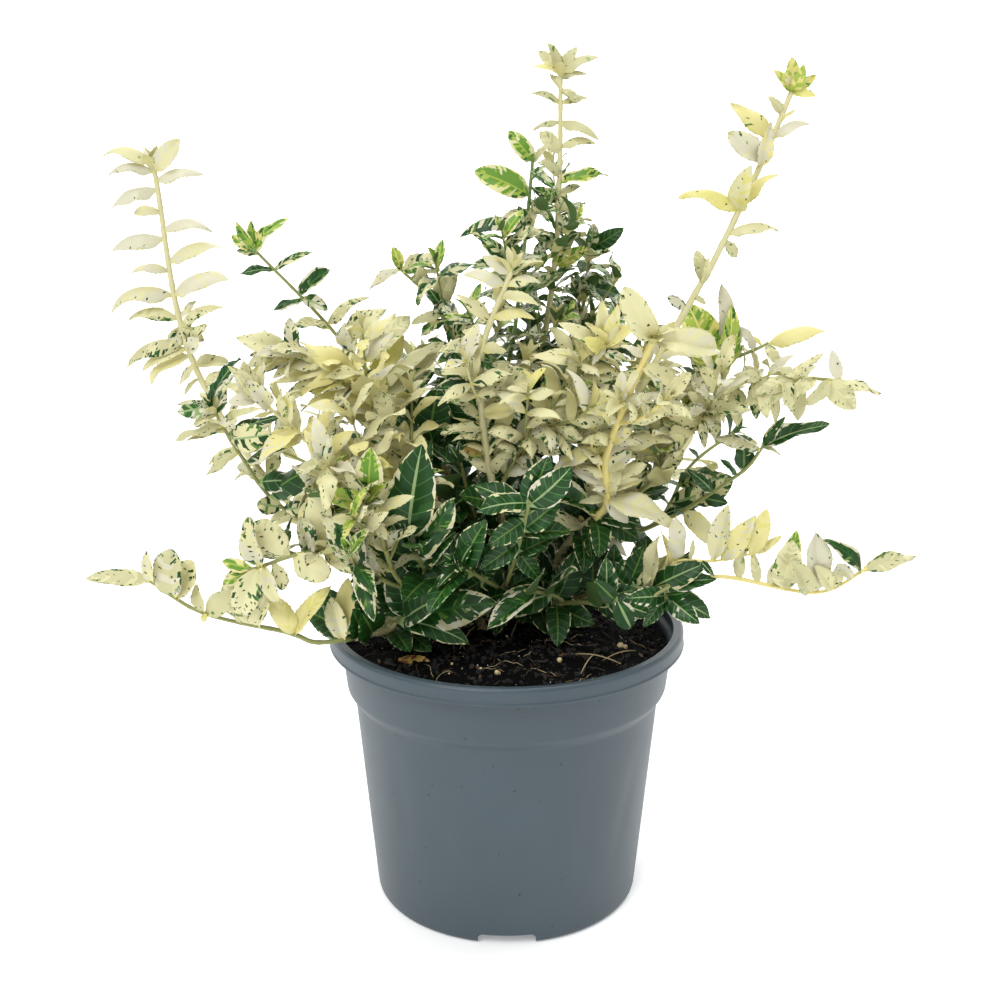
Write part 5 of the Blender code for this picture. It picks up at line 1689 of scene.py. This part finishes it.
def vein_rows(length):
    """Rows along a dark leaf, with a narrow one where each pair of side veins runs."""
    vein = VEIN_WIDTH / 2 / length
    rows = [0.0, 0.5 / VEINS]
    for i in range(1, VEINS):
        rows += [i / VEINS - vein, i / VEINS + vein, (i + 0.5) / VEINS]
    return np.array(rows + [1.0])


def leaf_mesh(leaf, row):
    """The leaf's points, its faces as arrays of corners, and the tone of each face."""
    dice = np.random.default_rng(leaf.seed)
    across = ACROSS if leaf.length > SMALL_LEAF and row < FAR_LEAF_ROW else ACROSS_SMALL
    veined = leaf.kind in VEINED and leaf.length > SMALL_LEAF
    if veined:
        along = vein_rows(leaf.length)
        rows = len(along) - 1
    else:
        rows = max(8, round(leaf.length / row))
        along = np.linspace(0, 1, rows + 1)
    columns = len(across)
    drift = dice.uniform(-ROW_DRIFT, ROW_DRIFT, (rows + 1, columns)) / rows
    drift *= 0 if veined else 1
    drift[[0, -1]] = 0
    sway = dice.uniform(-COLUMN_DRIFT, COLUMN_DRIFT, (rows + 1, columns))
    sway *= np.abs(across) < 0.95
    sway[:, columns // 2 - 1:columns // 2 + 1] = 0
    top, (turn, axes) = leaf_surface(leaf, along[:, None] + drift, across[None, :] + sway, True)
    centre = columns // 2
    middle = (top[:, centre - 1] + top[:, centre]) / 2
    down = np.stack([np.sin(turn[:, centre]), np.zeros(rows + 1), -np.cos(turn[:, centre])], -1)
    thick = KEEL * np.clip(1.3 - along, 0.3, 1)[:, None]
    keel = middle + down @ axes * thick
    flat = top.reshape(-1, 3)
    grid = np.arange((rows + 1) * columns).reshape(rows + 1, columns)
    keels = (rows + 1) * columns + np.arange(rows + 1)
    upper = np.stack([grid[:-1, :-1], grid[1:, :-1], grid[1:, 1:], grid[:-1, 1:]], -1)
    tones, islands, around, under = dealt_tones(leaf, along, across, dice)
    rings = upper[islands]
    hearts = flat[rings].mean(axis=1, keepdims=True)
    reach = dice.uniform(*SPECK_REACH, (len(rings), 4, 1))
    specks = hearts + (flat[rings] - hearts) * reach
    points = np.concatenate([flat, keel, specks.reshape(-1, 3)])
    first = len(flat) + len(keel)
    inner = first + np.arange(4 * len(rings)).reshape(-1, 4)
    bands = np.stack([rings, np.roll(rings, -1, 1), np.roll(inner, -1, 1), inner], -1)
    left = np.stack([grid[:-1, 0], keels[:-1], keels[1:], grid[1:, 0]], -1)
    right = np.stack([grid[:-1, -1], grid[1:, -1], keels[1:], keels[:-1]], -1)
    quads = np.concatenate([upper[~islands], inner, bands.reshape(-1, 4), left, right])
    foot = np.append(grid[0], keels[0])
    tip = np.append(grid[-1][::-1], keels[-1])
    corners = np.concatenate([quads.ravel(), foot, tip])
    sizes = np.concatenate([np.full(len(quads), 4), [columns + 1, columns + 1]])
    dealt = np.concatenate([tones[~islands], tones[islands], np.repeat(around[islands], 4),
                            under, under, under[[0, -1]]])
    return points, corners, sizes, dealt


def joined_leaves(name, many, row=LEAF_ROW):
    """One mesh of many leaves."""
    points, corners, sizes, tones, first = [], [], [], [], 0
    for leaf in many:
        its_points, its_corners, its_sizes, its_tones = leaf_mesh(leaf, row)
        points.append(its_points)
        corners.append(its_corners + first)
        sizes.append(its_sizes)
        tones.append(its_tones)
        first += len(its_points)
    points, corners = np.concatenate(points), np.concatenate(corners)
    sizes, tones = np.concatenate(sizes), np.concatenate(tones)
    mesh = bpy.data.meshes.new(name)
    mesh.vertices.add(len(points))
    mesh.vertices.foreach_set("co", points.ravel())
    mesh.loops.add(len(corners))
    mesh.loops.foreach_set("vertex_index", corners.astype(np.int32))
    mesh.polygons.add(len(sizes))
    starts = np.concatenate([[0], np.cumsum(sizes)[:-1]])
    mesh.polygons.foreach_set("loop_start", starts.astype(np.int32))
    for skin in leaf_skins:
        mesh.materials.append(skin)
    mesh.polygons.foreach_set("material_index", tones.astype(np.int32))
    mesh.update(calc_edges=True)
    mesh.validate()
    mesh.shade_smooth()
    mesh.set_sharp_from_angle(angle=math.radians(LEAF_SHARP))
    piece = bpy.data.objects.new(name, mesh)
    bpy.context.scene.collection.objects.link(piece)
    return piece


# Wood of the leafy shoots: cream, butter yellow, olive or green skin, satin and faintly
# ridged. The butter yellow is the stems' own, made a little brighter as painted light, since
# those stems stand in shade. Each shoot starts inside its bough's end, and its twigs are thinner.
SHOOT_WOODS = {"cream": "#D0CB9C", "butter": "#E0D285", "olive": "#8E9257", "green": "#6F8B48"}
shoot_woods = []
for wood_name, colour in SHOOT_WOODS.items():
    wood = new_material(wood_name + "_shoot_bark", colour, 0.5)
    grained(wood, 0.7 * MM, 0.06 * MM)
    shoot_woods.append(wood)
SHOOT_STEP = 1.8 * MM
SHOOT_SIDES = 8
TWIG_SIDES = 6
SHOOT_SUNK = 2.2
SHOOT_FLARE = 0.1
STOUTEST_FOOT = 1.6

for region in REGIONS:
    members = [name for name in SHOOTS if LOOKS[name][0] == region]
    points, faces, tones = [], [], []
    for name in members:
        wood = list(SHOOT_WOODS).index(LOOKS[name][7])
        before = len(faces)
        path = shoot_paths[name]
        heading = (path[1] - path[0]).normalized()
        own_path = [path[0] - heading * SHOOT_SUNK * MM] + evenly(path, SHOOT_STEP)
        stout = STOUT_SHOOTS.get(name, 1)
        foot_radius = SHOOT_RADIUS * min(stout, STOUTEST_FOOT)
        radius_at = bark_radius(name, path_length(own_path), foot_radius,
                                SHOOT_TIP_RADIUS * stout, SHOOT_FLARE)
        add_to(points, faces, limb(own_path, radius_at, SHOOT_SIDES))
        for twig in twigs[name]:
            radius_at = bark_radius(name, path_length(twig), TWIG_RADIUS, TWIG_TIP_RADIUS,
                                    SHOOT_FLARE)
            add_to(points, faces, limb(evenly(twig, SHOOT_STEP), radius_at, TWIG_SIDES))
        tones += [wood] * (len(faces) - before)
    row = FAR_LEAF_ROW if region == "back" else LEAF_ROW
    pieces = [joined_leaves("leaves_" + region, leaves[region], row)]
    if members:
        pieces.append(new_piece("shoot_stems_" + region, points, faces, shoot_woods, tones, 60))
    else:
        members = [name for name in SHOOTS if LOOKS[name][0] == "inner"]
    for piece in pieces:
        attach(piece, "root")
        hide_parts(*["foliage_" + name for name in members])

# A dead brown leaf, curled, lies on the soil at the left of the front.
dice = random.Random("dead leaf")
across, inward = -50 * MM, -33 * MM
root = Vector((across, inward, lumpy_height(across, inward) + 1.6 * MM))
scrap = Leaf(root, Vector((1, -0.12, 0.02)).normalized(), Vector((0, -0.4, 1)), 15 * MM,
             "dead", "upright", dice)
dead_leaf = joined_leaves("dead_leaf", [scrap])
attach(dead_leaf, "root")


# The stage: a plain white floor and a white wall behind, in a dim white surround, with soft
# light from above and in front, which leaves the inside of the shrub dark.
def stage_sheet(name, paint_name, colour, glow, corners):
    """A flat sheet in matt white paint that glows, so that its edge doesn't show."""
    paint = new_material(paint_name, colour, 0.9)
    grained(paint, 2 * MM, 0.01 * MM)
    join(paint, shader_of(paint), {
        "Emission Color": (1, 1, 1, 1), "Emission Strength": glow})
    new_piece(name, corners, [[0, 1, 2, 3]], [paint])


stage_sheet("floor", "matt_white_floor", "#FDFDFD", 0.25,
            [(x, y, -0.2 * MM) for x, y in ((-3, -3), (3, -3), (3, 2.2), (-3, 2.2))])
stage_sheet("wall", "lit_white_wall", "#FFFFFF", 1.0,
            [(x, 2.2, z) for x, z in ((-3, -0.1), (3, -0.1), (3, 3), (-3, 3))])

world = bpy.data.worlds.new("white_surround")
world.use_nodes = True
surround = world.node_tree.nodes["Background"]
surround.inputs["Color"].default_value = (1, 1, 1, 1)
surround.inputs["Strength"].default_value = 0.58
bpy.context.scene.world = world


def soft_light(name, place, target, size, power):
    """An area light that faces the target."""
    lamp = bpy.data.lights.new(name, "AREA")
    lamp.shape = "RECTANGLE"
    lamp.size, lamp.size_y = size
    lamp.energy = power
    holder = bpy.data.objects.new(name, lamp)
    holder.location = place
    aim = Vector(target) - Vector(place)
    holder.rotation_euler = aim.to_track_quat("-Z", "Y").to_euler()
    bpy.context.scene.collection.objects.link(holder)


soft_light("key_light", (-1.0, -1.8, 2.4), (0, 0, 0.2), (1.3, 1.3), 44)
soft_light("top_light", (0.5, 0.2, 2.6), (0, 0, 0.2), (1.2, 1.2), 25)

camera = bpy.data.cameras.new("photo_camera")
camera.sensor_width = 36
camera.lens = VIEW_LENS
camera_holder = bpy.data.objects.new("photo_camera", camera)
camera_holder.location = VIEW_PLACE
camera_holder.rotation_euler = (math.pi / 2 - VIEW_DOWN, 0, 0)
bpy.context.scene.collection.objects.link(camera_holder)
bpy.context.scene.camera = camera_holder
bpy.context.scene.view_settings.view_transform = "Standard"
